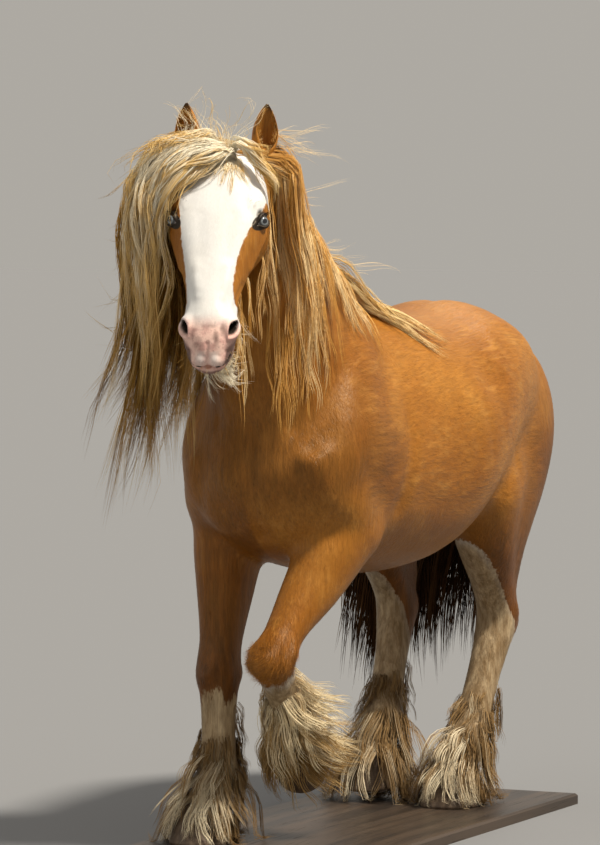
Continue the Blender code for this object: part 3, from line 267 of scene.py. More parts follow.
# Dusky spots of the muzzle: place to the left and down the face, half width, half length, darkness
MUZZLE_SPOTS = (
    (0.021, 0.548, 0.01, 0.024, 0.62), (0.002, 0.522, 0.036, 0.012, 0.42),
    (-0.024, 0.56, 0.016, 0.018, 0.46), (0.036, 0.526, 0.01, 0.018, 0.6),
    (-0.034, 0.536, 0.012, 0.016, 0.42), (0.0, 0.575, 0.006, 0.014, 0.36),
)
MASKS = ("white", "pink", "black", "grey", "legs_and_painted_shade", "hang")

# Long hair: counts of locks, strands in a lock, and widths of one strand
SEED = 11
GUIDE_STEPS = 10
ROOT_DEPTH = 0.003
FLOOR_GAP = 0.006
MANE_LOCKS, MANE_STRANDS = 150, 33
CHEEK_LOCKS, CHEEK_STRANDS = 36, 24
WITHERS_LOCKS, WITHERS_STRANDS = 24, 20
MANE_WISPS, WISP_STRANDS = 40, 8
MANE_LEFT_LOCKS, MANE_LEFT_STRANDS = 84, 18
SHORT_LEFT_LOCKS, SHORT_LEFT_STRANDS = 64, 10
CREST_STRAYS, BROW_STRAYS, STRAY_STRANDS = 26, 34, 3
FORELOCKS, FORELOCK_STRANDS = 74, 34
BROW_EDGE_LOCKS, BROW_EDGE_STRANDS = 30, 5
BROW_LOW_LOCKS, BROW_LOW_STRANDS = 34, 4
BROW_TUFTS, BROW_TUFT_STRANDS = 30, 7
BEARD_LOCKS, BEARD_STRANDS, BEARD_HAIR = 44, 15, 0.001
FEATHER_LOCKS, FEATHER_STRANDS = 84, 27
TAIL_LOCKS, TAIL_STRANDS = 84, 28
EAR_TUFTS, EAR_TUFT_STRANDS, EAR_HAIR = 60, 6, 0.0008
LASHES, LASH_STRANDS, LASH_HAIR = 26, 3, 0.0005
BROW_FEELERS, MUZZLE_FEELERS, FEELER_HAIR = 7, 34, 0.0006
MANE_HAIR, FEATHER_HAIR, TAIL_HAIR = 0.0027, 0.002, 0.0044
# Points of a strand, by the kind of hair
LONG_POINTS, BEARD_POINTS, FEATHER_POINTS, FACE_POINTS, TUFT_POINTS = 11, 9, 8, 7, 2
# Short coat: piece, tufts, length, width, slot
SHORT_COAT = (
    ("coat_trunk", 20000, 0.016, 0.0014, "torso"),
    ("coat_neck", 10000, 0.018, 0.0014, "neck"),
    ("coat_legs", 15000, 0.02, 0.0014, "torso"),
    ("coat_knee", 4500, 0.032, 0.0018, "torso"),
    ("coat_head", 14000, 0.007, 0.0009, "head"),
)
# A wave's full turn, and the turn and the share that spread locks evenly
WAVE = 6.3
EVEN_TURN, EVEN_SHARE = 2.4, 0.618
# The forelock's lowest and highest way over the brow to the right, and its way to the left,
# as points to the left of the head, down the face from the poll, and out of the face
FORELOCK_FRONT = (
    (0.034, 0.022, 0.046), (-0.03, 0.072, 0.06), (-0.085, 0.106, 0.053), (-0.126, 0.158, 0.019),
    (-0.146, 0.225, -0.04), (-0.152, 0.31, -0.095), (-0.156, 0.4, -0.15),
)
FORELOCK_BACK = (
    (-0.012, -0.03, 0.03), (-0.065, 0.0, 0.044), (-0.13, 0.022, 0.046), (-0.186, 0.062, 0.022),
    (-0.216, 0.13, -0.03), (-0.218, 0.215, -0.086), (-0.212, 0.305, -0.142),
)
FORELOCK_LEFT = (
    (0.02, 0.0, 0.042), (0.056, 0.026, 0.05), (0.094, 0.07, 0.036), (0.122, 0.128, 0.006),
    (0.134, 0.19, -0.042), (0.14, 0.265, -0.09), (0.142, 0.35, -0.14),
)
# Size of one strand's patch of the OFBake map
PATCH = 0.003

# Colours
CHESTNUT, CHESTNUT_DEEP, CHESTNUT_LIGHT = (0.395, 0.16, 0.022), (0.265, 0.09, 0.008), (0.55, 0.275, 0.06)
# The leg brown is also the colour of painted shade on the chest, thigh and gaskin
LEG_BROWN_AND_SHADE, LEG_CREAM = (0.09, 0.026, 0.003), (0.52, 0.395, 0.24)
WHITE_HAIR, CREAM, SOILED = (0.725, 0.715, 0.69), (0.7, 0.64, 0.54), (0.19, 0.118, 0.054)
PINK_SKIN, PINK_DEEP = (0.86, 0.55, 0.45), (0.64, 0.345, 0.29)
GREY_SKIN, BLACK_SKIN = (0.095, 0.053, 0.048), (0.012, 0.009, 0.008)
# Long hair, from its dark over its middle to its light strands
LONG_HAIR = {
    "mane_hair": ((0.21, 0.09, 0.011), (0.59, 0.335, 0.078), (0.93, 0.71, 0.36)),
    "brow_hair": ((0.45, 0.25, 0.065), (0.82, 0.56, 0.215), (0.99, 0.91, 0.72)),
    "beard_hair": ((0.45, 0.28, 0.11), (0.8, 0.6, 0.33), (0.96, 0.87, 0.68)),
    "neck_hair": ((0.3, 0.125, 0.016), (0.68, 0.36, 0.092), (0.94, 0.71, 0.38)),
    "feather_hair": ((0.115, 0.064, 0.022), (0.3, 0.185, 0.078), (0.84, 0.73, 0.52)),
    "lifted_hair": ((0.16, 0.085, 0.026), (0.45, 0.28, 0.105), (0.9, 0.76, 0.5)),
    # The tail's near-black tones are partly painted shade: it hangs in shadow between the hind limbs, over
    # its own dark brown
    "tail_hair": ((0.022, 0.01, 0.004), (0.095, 0.042, 0.014), (0.3, 0.16, 0.06)),
}
SHEEN = (1.0, 0.8, 0.56, 1)
IRIS, IRIS_LIGHT, PUPIL = (0.085, 0.095, 0.1), (0.27, 0.3, 0.31), (0.004, 0.005, 0.008)
IRIS_EDGE, EYE_WHITE = (0.016, 0.012, 0.01), (0.26, 0.2, 0.17)
HORN_DARK, HORN_LIGHT, SOLE_GREY = (0.085, 0.055, 0.034), (0.22, 0.155, 0.1), (0.16, 0.14, 0.12)
OAK_DARK, OAK_LIGHT, OAK_PORE = (0.02, 0.014, 0.01), (0.06, 0.04, 0.026), (0.008, 0.006, 0.005)
SKY = (0.42, 0.398, 0.362)

# The camera
CAMERA_PLACE = (4.82, -10.49, 1.5803)
CAMERA_YAW, CAMERA_PITCH = -0.4435, 0.042
CAMERA_LENS, CAMERA_SENSOR = 184.5, 36
FLOOR_SIZE = 400


def unit(v):
    return Vector(v).normalized()


def smooth_step(low, high, value):
    t = np.clip((value - low) / (high - low), 0, 1)
    return t * t * (3 - 2 * t)


def choose(*things):
    """Selects these objects alone, with the first one active."""
    bpy.ops.object.select_all(action="DESELECT")
    for thing in things:
        thing.select_set(True)
    bpy.context.view_layer.objects.active = things[0]


def placed(name, data):
    """A new object in the scene."""
    thing = bpy.data.objects.new(name, data)
    bpy.context.scene.collection.objects.link(thing)
    return thing


def name_mesh(thing, name):
    thing.name = name
    thing.data.name = name


def keep_field(thing, key, values):
    """Keeps a number for each point of a mesh."""
    field = thing.data.attributes.new(key, "FLOAT", "POINT")
    field.data.foreach_set("value", np.asarray(values, np.float32))


def read(rows, at, column):
    """A column of a table, read at a place between the first numbers of its rows."""
    return np.interp(at, [row[0] for row in rows], [row[column] for row in rows])


def gap_to_line(points, start, stop):
    """How far each point lies from the line between two places."""
    line = stop - start
    t = np.clip(((points - start) @ line) / (line @ line), 0, 1)
    return np.linalg.norm(points - start - t[:, None] * line, axis=1)


def gap_to_path(points, path):
    path = [np.array(p) for p in path]
    return np.min([gap_to_line(points, start, stop) for start, stop in zip(path, path[1:])], axis=0)


def between(rows, steps):
    """Rows of numbers joined by one smooth curve, steps to each span."""
    rows = np.array(rows, float)
    padded = np.vstack((2 * rows[0] - rows[1], rows, 2 * rows[-1] - rows[-2]))
    made = []
    for i in range(1, len(padded) - 2):
        a, b, c, d = padded[i - 1:i + 3]
        for k in range(steps):
            t = k / steps
            made.append(0.5 * (2 * b + (c - a) * t + (2 * a - 5 * b + 4 * c - d) * t * t
                               + (3 * b - a - 3 * c + d) * t ** 3))
    made.append(rows[-1])
    return np.array(made)


def ring(top, bottom, side, half_width, widest, upper, lower, sides):
    """Points round a section from its top, its bottom and its half width."""
    rise = top - bottom
    middle = bottom + rise * widest
    side = side - rise * (side @ rise) / (rise @ rise)
    side = side / np.linalg.norm(side)
    points = []
    for i in range(sides):
        turn = 2 * math.pi * i / sides
        c, s = math.cos(turn), math.sin(turn)
        power = upper if s > 0 else lower
        reach = 1 - widest if s > 0 else widest
        across = math.copysign(abs(c) ** (2 / power), c)
        along = math.copysign(abs(s) ** (2 / power), s)
        points.append(middle + side * half_width * across + rise * reach * along)
    return points


def solid(name, corners, faces):
    """A closed mesh from corners and faces, with its faces outwards."""
    shape = bmesh.new()
    made = [shape.verts.new(Vector(p)) for p in corners]
    for face in faces:
        shape.faces.new([made[i] for i in face])
    bmesh.ops.recalc_face_normals(shape, faces=shape.faces)
    mesh = bpy.data.meshes.new(name)
    shape.to_mesh(mesh)
    shape.free()
    return placed(name, mesh)


def tube(name, rings):
    """A closed skin through rings of points, flat at both ends."""
    n = len(rings[0])
    faces = [tuple(reversed(range(n))), tuple(range((len(rings) - 1) * n, len(rings) * n))]
    for level in range(len(rings) - 1):
        low, high = level * n, (level + 1) * n
        faces += [(low + i, low + (i + 1) % n, high + (i + 1) % n, high + i) for i in range(n)]
    return solid(name, [p for points in rings for p in points], faces)


def loft(name, rows, steps=5, sides=28):
    """Rows: top xyz, bottom xyz, side xyz, half width, widest, upper power, lower power."""
    return tube(name, [ring(r[0:3], r[3:6], r[6:9], *r[9:13], sides) for r in between(rows, steps)])


def trunk():
    return loft("trunk", [(0, y, top, 0, y, low, 1, 0, 0, width, widest, up, down)
                          for y, top, low, width, widest, up, down in TRUNK])


def neck():
    return loft("neck", [(x, c[0], c[1], x, t[0], t[1], 1, 0, 0, width, 0.45, 1.8, 2.1)
                         for c, t, x, width in NECK])


def head_axes():
    """The ways to the head's left, down its face and out of its face."""
    down = AHEAD * math.sin(HEAD_TILT) - UP * math.cos(HEAD_TILT)
    dorsal = AHEAD * math.cos(HEAD_TILT) + UP * math.sin(HEAD_TILT)
    roll = Matrix.Rotation(HEAD_ROLL, 3, down)
    return roll @ dorsal.cross(down), down, roll @ dorsal


AHEAD = Vector((math.sin(HEAD_TURN), -math.cos(HEAD_TURN), 0))
LEFT, DOWN, DORSAL = head_axes()


def on_head(across, down, dorsal):
    """A point of the head: to its left, down the face from the poll, and out of the face."""
    return POLL + LEFT * across + DOWN * down + DORSAL * dorsal


def head():
    return loft("head", [(*on_head(0, d, top), *on_head(0, d, low), *LEFT, width, widest, up, down)
                         for d, top, low, width, widest, up, down in HEAD])


def leg(name, profile, joints):
    """A leg whose sections turn evenly from one bone to the next."""
    joints = [Vector(j) for j in joints]
    bones = [(b - a).normalized() for a, b in zip(joints, joints[1:])]
    rows = []
    for bone, t, front, back, width in profile:
        before = bones[max(bone - 1, 0)]
        after = bones[min(bone + 1, len(bones) - 1)]
        if t < 0.5:
            lie = ((before + bones[bone]) / 2).lerp(bones[bone], 2 * t)
        else:
            lie = bones[bone].lerp((after + bones[bone]) / 2, min(2 * t - 1, 1))
        ahead = lie.cross(SIDE).normalized()
        centre = joints[bone].lerp(joints[bone + 1], t)
        rows.append((*(centre + ahead * front), *(centre - ahead * back), *SIDE, width,
                     back / (front + back), 2.1, 2.1))
    return loft(name, rows, 4)


def thigh(sign):
    return loft("thigh", [(sign * x, front, z, sign * x, back, z, 1, 0, 0, width, 0.45, 2.1, 2.1)
                          for z, front, back, x, width in THIGH])


def ellipsoid(start, stop, across, deep):
    """A long ball between two places, with its own thickness across and in depth."""
    bpy.ops.mesh.primitive_uv_sphere_add(segments=28, ring_count=16, radius=1)
    ball = bpy.context.object
    z = unit(stop - start)
    x = unit(SIDE - z * SIDE.dot(z))
    turn = Matrix((x, z.cross(x), z)).transposed().to_4x4()
    size = Matrix.Diagonal((across, deep, (stop - start).length / 2 + 0.6 * deep, 1))
    ball.data.transform(Matrix.Translation((start + stop) / 2) @ turn @ size)
    return ball


def apply_modifier(thing, modifier):
    choose(thing)
    bpy.ops.object.modifier_apply(modifier=modifier.name)


def fuse(pieces, voxel):
    """Joins overlapping solids into one even skin."""
    choose(*pieces)
    bpy.ops.object.join()
    whole = pieces[0]
    remesh = whole.modifiers.new("skin", "REMESH")
    remesh.mode = "VOXEL"
    remesh.voxel_size = voxel
    apply_modifier(whole, remesh)
    return whole


class Clay:
    """A mesh's points and edges as arrays, for brushes that move its points."""

    def __init__(self, thing):
        self.thing = thing
        mesh = thing.data
        count = len(mesh.vertices)
        self.co = np.empty(count * 3)
        mesh.vertices.foreach_get("co", self.co)
        self.co = self.co.reshape(-1, 3)
        ends = np.empty(len(mesh.edges) * 2, int)
        mesh.edges.foreach_get("vertices", ends)
        self.a, self.b = ends.reshape(-1, 2).T
        self.links = np.bincount(self.a, minlength=count) + np.bincount(self.b, minlength=count)

    def relax(self, weight, rounds):
        """Draws each point towards the middle of its neighbours."""
        for _ in range(rounds):
            total = [np.bincount(self.a, self.co[self.b, k], len(self.co))
                     + np.bincount(self.b, self.co[self.a, k], len(self.co)) for k in range(3)]
            total = np.stack(total, 1)
            self.co += (total / self.links[:, None] - self.co) * weight[:, None]

    def keep(self):
        self.thing.data.vertices.foreach_set("co", self.co.ravel())
        self.thing.data.update()

    def normals(self):
        self.keep()
        found = np.empty(len(self.co) * 3)
        self.thing.data.vertex_normals.foreach_get("vector", found)
        return found.reshape(-1, 3)


def swell(clay, centre, radius, height, stretch=1.0):
    """Raises the surface round a point. The brush can be longer down the face."""
    gap = clay.co - np.array(centre)
    if stretch > 1:
        along = np.array(DOWN) / np.linalg.norm(DOWN)
        gap = gap - np.outer(gap @ along, along) * (1 - 1 / stretch)
    weight = np.clip(1 - (gap ** 2).sum(1) / radius ** 2, 0, 1) ** 2
    clay.co += clay.normals() * (height * weight)[:, None]


def crease(clay, path, width, depth):
    """Presses a soft groove along a path, or raises a ridge with a negative depth."""
    gap = gap_to_path(clay.co, path)
    clay.co -= clay.normals() * (depth * np.exp(-(gap / width) ** 2))[:, None]


def sculpt(clay, rows, place):
    """Swellings and grooves from a table of relief, with its points put in place."""
    for points, size, amount, *stretch in rows:
        points = [place(*p) for p in points]
        if len(points) == 1:
            swell(clay, points[0], size, amount, *stretch)
        else:
            crease(clay, points, size, amount)


def refine(thing, balls):
    """Halves the faces whose middle lies in one of the balls, each a centre and a radius."""
    shape = bmesh.new()
    shape.from_mesh(thing.data)
    edges = set()
    for face in shape.faces:
        middle = face.calc_center_median()
        if any((middle - centre).length < radius for centre, radius in balls):
            edges.update(face.edges)
    bmesh.ops.subdivide_edges(shape, edges=list(edges), cuts=1, use_grid_fill=True)
    shape.to_mesh(thing.data)
    shape.free()


def frame_at(point, outward, along):
    """A place on the head with its axes: outward, along, and across both."""
    out = outward.normalized()
    along = (along - out * along.dot(out)).normalized()
    across = out.cross(along)
    if across.dot(DORSAL) < 0:
        across = -across
    return np.array(point), np.array(out), np.array(along), np.array(across)


def eye_frame(sign):
    across, down, dorsal = EYE_PLACE
    return frame_at(on_head(sign * across, down, dorsal),
                    LEFT * sign * 0.78 + DORSAL * 0.58 + DOWN * 0.14,
                    DOWN * 0.74 + DORSAL * 0.46 - LEFT * sign * 0.46)


def eye_opening(points, sign):
    """How far points lie from the middle of the gap between the lids, 1 at its edge.

    Also which of them are above it, how far they are from the eye's middle, and the way to them.
    """
    centre, _, along, across = eye_frame(sign)
    gap = points - centre
    reach = np.linalg.norm(gap, axis=1) + 1e-9
    way = gap / reach[:, None]
    p, q = way @ along * EYE_RADIUS, way @ across * EYE_RADIUS
    return np.abs(q - 0.0005) / np.where(q > 0, 0.0125, 0.0105) + (p / 0.0192) ** 2, q > 0, reach, way


def eyelids(clay, sign):
    """Lids as a shell round the eyeball, an almond opening between them and a fold above."""
    centre, out, _, _ = eye_frame(sign)
    opening, upper, reach, way = eye_opening(clay.co, sign)
    ahead = way @ out
    cover = smooth_step(0.1, 0.62, ahead) * (reach < 0.07)
    inside = (1 - smooth_step(0.8, 1.1, opening)) * (ahead > 0.1) * (reach < 0.07)
    margin = 0.0012 * np.exp(-((opening - 1.3) / 0.2) ** 2)
    fold = 0.0028 * np.exp(-((opening - 2.05) / 0.28) ** 2) * upper
    aim = reach + (EYE_RADIUS + LID_THICKNESS + margin - fold - reach) * cover
    aim = aim + (EYE_RADIUS - 0.007 - aim) * inside
    clay.co = centre + way * aim[:, None]


def nostril(clay, sign):
    """A slanted comma with a soft rim and a hollow behind it."""
    opening, here, out = nostril_opening(clay.co, sign)
    hollow = 1 - smooth_step(0.4, 1.0, opening)
    rim = np.exp(-((opening - 1.5) / 0.42) ** 2)
    clay.co += np.outer(np.where(here, 0.005 * rim - 0.034 * hollow, 0), out)


def mouth_path():
    """The gap between the lips, from one corner round the front to the other."""
    return [on_head(*p) for p in LIPS] + [on_head(-a, d, o) for a, d, o in reversed(LIPS)]


def sculpt_head(clay):
    """Bones, nostrils, lips and lids."""
    for sign in (1, -1):
        sculpt(clay, HEAD_SIDES, lambda a, d, o: on_head(sign * a, d, o))
        nostril(clay, sign)
    sculpt(clay, HEAD_MIDDLE, on_head)
    crease(clay, mouth_path(), LIP_WIDTH, LIP_DEPTH)
    for sign in (1, -1):
        eyelids(clay, sign)


def grow_on(thing, other):
    """Joins a solid with another one, which is used up."""
    act = thing.modifiers.new("act", "BOOLEAN")
    act.operation = "UNION"
    act.object = other
    act.solver = "MANIFOLD"
    apply_modifier(thing, act)
    bpy.data.objects.remove(other)


def crest(share):
    """A point of the crest from the poll, 0, to the withers, 1."""
    rows = sorted((c[0], c[1], x) for c, _, x, _ in NECK[1:])
    y = -0.19 + 0.59 * share
    return Vector((read(rows, y, 2), y, read(rows, y, 1)))


def sculpt_body(clay):
    """Muscle borders, folds and tendons that show through the short coat."""
    for s in (1, -1):
        sculpt(clay, BODY_SIDES, lambda x, y, z: (x * s, y, z))
    sculpt(clay, BODY_MIDDLE, lambda *p: p)
    for name, (_, joints) in LEGS.items():
        joints = [Vector(j) for j in joints]
        cannon = (joints[3] - joints[2]).normalized()
        behind = -SIDE.cross(cannon)
        middle = joints[2]
        for s in (1, -1):
            side = SIDE * (0.052 * s)
            low = joints[2].lerp(joints[3], 0.22) + side + behind * 0.016
            crease(clay, [low, joints[2].lerp(joints[3], 0.8) + side + behind * 0.018], 0.009, 0.006)
            if "fore" in name:
                swell(clay, middle + side * 1.1 - behind * 0.02, 0.035, 0.005)
                swell(clay, middle + side * 0.4 - behind * 0.055 + cannon * 0.03, 0.03, 0.004)
            else:
                thin = middle - cannon * 0.02 + Vector((0.05 * s, 0.045, 0.1))
                crease(clay, [thin, thin + Vector((0, -0.015, 0.11))], 0.018, 0.01)
                swell(clay, middle + side * 1.1 - cannon * 0.02, 0.035, 0.005)
        if "fore" in name:
            swell(clay, middle + behind * 0.055, 0.035, 0.009)
            swell(clay, joints[1] + Vector((0, 0.06, 0.03)), 0.06, 0.008)
        else:
            swell(clay, middle + behind * 0.08 - cannon * 0.05, 0.04, 0.008)
        swell(clay, joints[3] + behind * 0.045, 0.04, 0.007)


def sculpt_face(clay):
    """Fine folds of the face, over the forms that the solids have."""
    for sign in (1, -1):
        centre, _, along, across = eye_frame(sign)
        for wide, rise, angles, depth in ((0.03, 0.034, (0.5, 1.0, 1.5, 2.0, 2.5), 0.002),
                                          (0.03, 0.041, (0.5, 1.0, 1.5, 2.0, 2.5), 0.0012),
                                          (0.026, -0.026, (0.6, 1.2, 1.8, 2.4), 0.0012)):
            arc = [centre + along * (wide * math.cos(a)) + across * (rise * math.sin(a)) for a in angles]
            crease(clay, arc, 0.0035, depth)
        sculpt(clay, FACE_SIDES, lambda a, d, o: on_head(sign * a, d, o))
    sculpt(clay, FACE_MIDDLE, on_head)


def skin_flesh():
    """The whole body as one even skin, with its faces finest round the eyes, nostrils and lips."""
    pieces = [trunk(), neck(), head(), thigh(1), thigh(-1)]
    pieces += [leg(name, profile, joints) for name, (profile, joints) in LEGS.items()]
    for start, stop, across, deep in MUSCLES:
        for sign in (1, -1):
            flip = Vector((sign, 1, 1))
            pieces.append(ellipsoid(Vector(start) * flip, Vector(stop) * flip, across, deep))
    whole = fuse(pieces, VOXEL)
    clay = Clay(whole)
    body = np.clip((clay.co[:, 2] - 0.62) / 0.25, 0, 1) * np.clip((clay.co[:, 1] + 0.25) / 0.15, 0, 1)
    clay.relax(0.04 + 0.5 * body, 16)
    clay.relax(np.full(len(clay.co), 0.3), 2)
    sculpt_body(clay)
    clay.relax(np.full(len(clay.co), 0.25), 1)
    clay.keep()
    eyes = [Vector(eye_frame(sign)[0]) for sign in (1, -1)]
    for balls, weight, rounds in (
            ([(on_head(0, 0.22, -0.06), 0.27), (on_head(0, 0.47, -0.04), 0.17)], 0.5, 3),
            ([(eye, 0.052) for eye in eyes] + [(on_head(0, 0.545, -0.04), 0.085)], 0.4, 2),
            ([(eye, 0.03) for eye in eyes] + [(on_head(0, 0.575, -0.058), 0.062)], 0.4, 2)):
        refine(whole, balls)
        clay = Clay(whole)
        clay.relax(weight * face_share(clay.co), rounds)
        clay.keep()
    sculpt_face(clay)
    sculpt_head(clay)
    clay.relax(0.25 * face_share(clay.co), 1)
    clay.keep()
    return whole


def face_share(co):
    """1 at points of the head below the poll, 0 elsewhere."""
    return smooth_step(-0.06, -0.01, (co - np.array(POLL)) @ np.array(DOWN)) * (co[:, 2] > 1.1)


def skin():
    """The flesh with its ears, drawn in by the depth of the short coat."""
    whole = skin_flesh()
    for sign in (1, -1):
        for grown in (ear_stub(sign), ear(sign)):
            grow_on(whole, grown)
    clay = Clay(whole)
    for sign in (1, -1):
        up, wide = up_ear(clay.co, sign)
        near = np.exp(-(up / 0.012) ** 2) * (wide < 0.06)
        clay.relax(0.6 * near, 8)
    clay.co -= clay.normals() * (COAT_DEPTH * (1 - 0.8 * in_ear(clay.co)))[:, None]
    clay.keep()
    name_mesh(whole, "skin")
    return whole


def head_places(points):
    """Each point's way to the left of the head, down the face and out of it."""
    gap = points - np.array(POLL)
    return gap @ np.array(LEFT), gap @ np.array(DOWN), gap @ np.array(DORSAL)


def before_neck(points):
    """How far points lie in front of the plane behind the face."""
    return (points - np.array(FACE_BACK)) @ np.array(AHEAD)


def up_ear(points, sign):
    """How far up an ear points lie, and how far from its middle."""
    root, rise, _ = ear_axes(sign)
    gap = points - np.array(root)
    up = gap @ np.array(rise)
    return up, np.linalg.norm(gap - np.outer(up, np.array(rise)), axis=1)


def in_ear(points):
    """How far each point belongs to an ear, 0 to 1."""
    share = np.zeros(len(points))
    for sign in (1, -1):
        up, wide = up_ear(points, sign)
        share = np.maximum(share, smooth_step(0.0, 0.03, up) * (wide < 0.07))
    return share


def leg_white(points):
    """Above 0.5 on the white stockings: all round below the knee, and a stripe up the front behind."""
    x, y, z = points.T
    white = np.zeros(len(points))
    for name, (_, joints) in LEGS.items():
        side = 1 if "left" in name else -1
        stifle, knee, fetlock = (np.array(joints[k]) for k in (1, 2, 3))
        bone = (fetlock - knee) / np.linalg.norm(fetlock - knee)
        down = (points - knee) @ bone
        if "fore" in name:
            near = (x * side > -0.045) & (z < 0.6) & (y < 0.6)
            turn = np.arctan2(x - knee[0], y - knee[1])
            ragged = np.sin(3 * turn + side) + 0.8 * np.sin(7 * turn + 2) + 0.5 * np.sin(17 * turn + 4)
            edge = smooth_step(0.01, 0.105, down + 0.014 * ragged)
        else:
            t = np.clip((stifle[2] - z) / (stifle[2] - knee[2]), 0, 1)[:, None]
            gap = points - (stifle + (knee - stifle) * t)
            wide = np.hypot(gap[:, 0], gap[:, 1])
            near = (x * side > -0.045) & (z < 0.78) & (y > 0.6) & ((wide < 0.14) | (z < 0.55))
            front = (-gap[:, 1] - 0.5 * gap[:, 0]) / (wide + 1e-6)
            need = np.interp(z + 0.045 - 0.045 * side, (0.36, 0.44, 0.52, 0.62, 0.7, 0.76),
                             (-1.6, -0.75, -0.05, 0.45, 0.82, 1.4))
            edge = smooth_step(-0.26, 0.26, front - need)
        white = np.where(near, np.maximum(white, edge), white)
    return white


def ear_marks(points):
    """Dark tips and edges of the ears."""
    dark = np.zeros(len(points))
    for sign in (1, -1):
        root, rise, mouth = ear_axes(sign)
        wide = rise.cross(mouth)
        gap = points - np.array(root)
        t = gap @ np.array(rise) / EAR_LENGTH
        aside = np.abs(gap @ np.array(wide) + sign * EAR_BEND * t * t * float(LEFT.dot(wide)))
        edge = smooth_step(0.72, 0.98, aside / read(EAR, t, 1)) * smooth_step(0.15, 0.45, t)
        edge = edge * (gap @ np.array(mouth) > 0.004)
        tip = smooth_step(0.62, 1.0, t)
        near = in_ear(points) * (np.sum(gap * gap, 1) < 0.17 ** 2)
        dark = np.maximum(dark, np.maximum(edge * 0.62, tip * 0.75) * near)
    return dark


def markings(points):
    """Masks of the markings at points, each from 0 to 1 or a little over.

    White hair, pink skin, black skin with painted shade in the nostrils and the mouth's gap, grey skin with
    painted shade under the chin, the dark leg coat with painted shade on the chest and hindquarters and
    painted light on the raised leg, and coat that hangs straight down.
    """
    points = np.asarray(points)
    x, y, z = points.T
    a, d, o = head_places(points)
    face = (d > -0.05) & (z > 1.15) & (before_neck(points) > 0)
    edge = np.where(a > 0, read(BLAZE, d, 1) - a, read(BLAZE, d, 2) + a)
    blaze = smooth_step(-0.012, 0.012, edge) * smooth_step(-0.1, -0.05, o + 0.35 * np.clip(d - 0.4, 0, 1))
    muzzle = smooth_step(0.455, 0.485, d + 0.1 * np.clip(-o - 0.02, 0, 0.1))
    stockings = leg_white(points)
    white = np.where(face, np.maximum(blaze, muzzle), 0) * (1 - in_ear(points))
    white = np.maximum(white, stockings)
    pink = np.where(face, smooth_step(0.485, 0.535, d + 0.25 * np.clip(np.abs(a) - 0.02, 0, 0.1)), 0)
    lip = np.exp(-(np.hypot((np.abs(a) - 0.018) / 0.013, (d - 0.59) / 0.014)) ** 2)
    pink = pink * (1 - 0.7 * lip * (o > -0.054) * (o < -0.012))
    black = 0.95 * ear_marks(points)
    grey = np.zeros(len(points))
    for sign in (1, -1):
        opening, _, reach, way = eye_opening(points, sign)
        centre, out, along, across = eye_frame(sign)
        near = (1 - smooth_step(0.034, 0.046, reach)) * smooth_step(0.05, 0.3, way @ out)
        rim = (1 - smooth_step(1.3, 1.9, opening)) * near
        u, v = (points - centre) @ along, (points - centre) @ across
        almond = np.hypot(np.where(u > 0, u / 0.048, u / 0.04), (v - 0.001) / 0.0215)
        patch = (1 - smooth_step(0.72, 1.02, almond)) * (reach < 0.06) * smooth_step(-0.1, 0.15, way @ out)
        black = np.maximum(black, np.maximum(rim, patch))
        opening, here, _ = nostril_opening(points, sign)
        # Black inside each nostril is painted shade in its hollow
        black = np.maximum(black, 0.95 * (1 - smooth_step(0.75, 1.25, opening)) * here)
        side = np.exp(-((o + 0.05) / 0.026) ** 2) * smooth_step(0.495, 0.53, d)
        side = side * smooth_step(0.034, 0.048, sign * a)
        grey = np.maximum(grey, np.where(face, 1.25 * side, 0))
    # The black line along the gap between the lips is painted shade in that groove
    black = np.maximum(black, 0.9 * (1 - smooth_step(0.003, 0.0075, gap_to_path(points, mouth_path()))))
    # The grey under the chin is painted shade beneath the lips
    chin = smooth_step(0.06, 0.074, -o) * smooth_step(0.525, 0.56, d) * face
    grey = np.maximum(grey, 0.72 * chin)
    for place_a, place_d, wide, long, dark in MUZZLE_SPOTS:
        spot = np.exp(-((a - place_a) / wide) ** 2 - ((d - place_d) / long) ** 2)
        grey = np.maximum(grey, np.where(face & (o > -0.05), dark * spot, 0))
    # Darker coat low on the limbs, partly their own darker brown and partly painted shade; the chest, thigh
    # and gaskin masks below add more painted shade
    legs_and_painted_shade = 1 - smooth_step(0.4, 0.95, z + 0.08 * (y > 0.6))
    chest = (1 - smooth_step(0.02, 0.3, y - 0.6 * np.clip(x, 0, 0.3))) * (1 - smooth_step(0.95, 1.4, z))
    thigh_shade = smooth_step(0.95, 1.3, y) * (1 - smooth_step(0.92, 1.28, z))
    gaskin_shade = smooth_step(0.86, 1.1, y) * (1 - smooth_step(0.66, 0.98, z))
    for mask, share in ((chest, 0.62), (thigh_shade, 0.86), (gaskin_shade, 0.92)):
        legs_and_painted_shade = np.maximum(legs_and_painted_shade, share * mask)
    # The raised left foreleg is kept lighter: painted light, as that leg catches the key light
    lifted = (x > -0.02) & (y < 0.3)
    legs_and_painted_shade = legs_and_painted_shade * np.where(lifted, 0.08 + 0.92 * smooth_step(0.78, 0.95, z), 1.0)
    legs_and_painted_shade = np.maximum(legs_and_painted_shade, stockings)
    hang = smooth_step(0.55, 0.9, -way_of_coat(points)[:, 2])
    return {"white": white, "pink": pink, "black": black, "grey": grey, "legs_and_painted_shade": legs_and_painted_shade, "hang": hang}


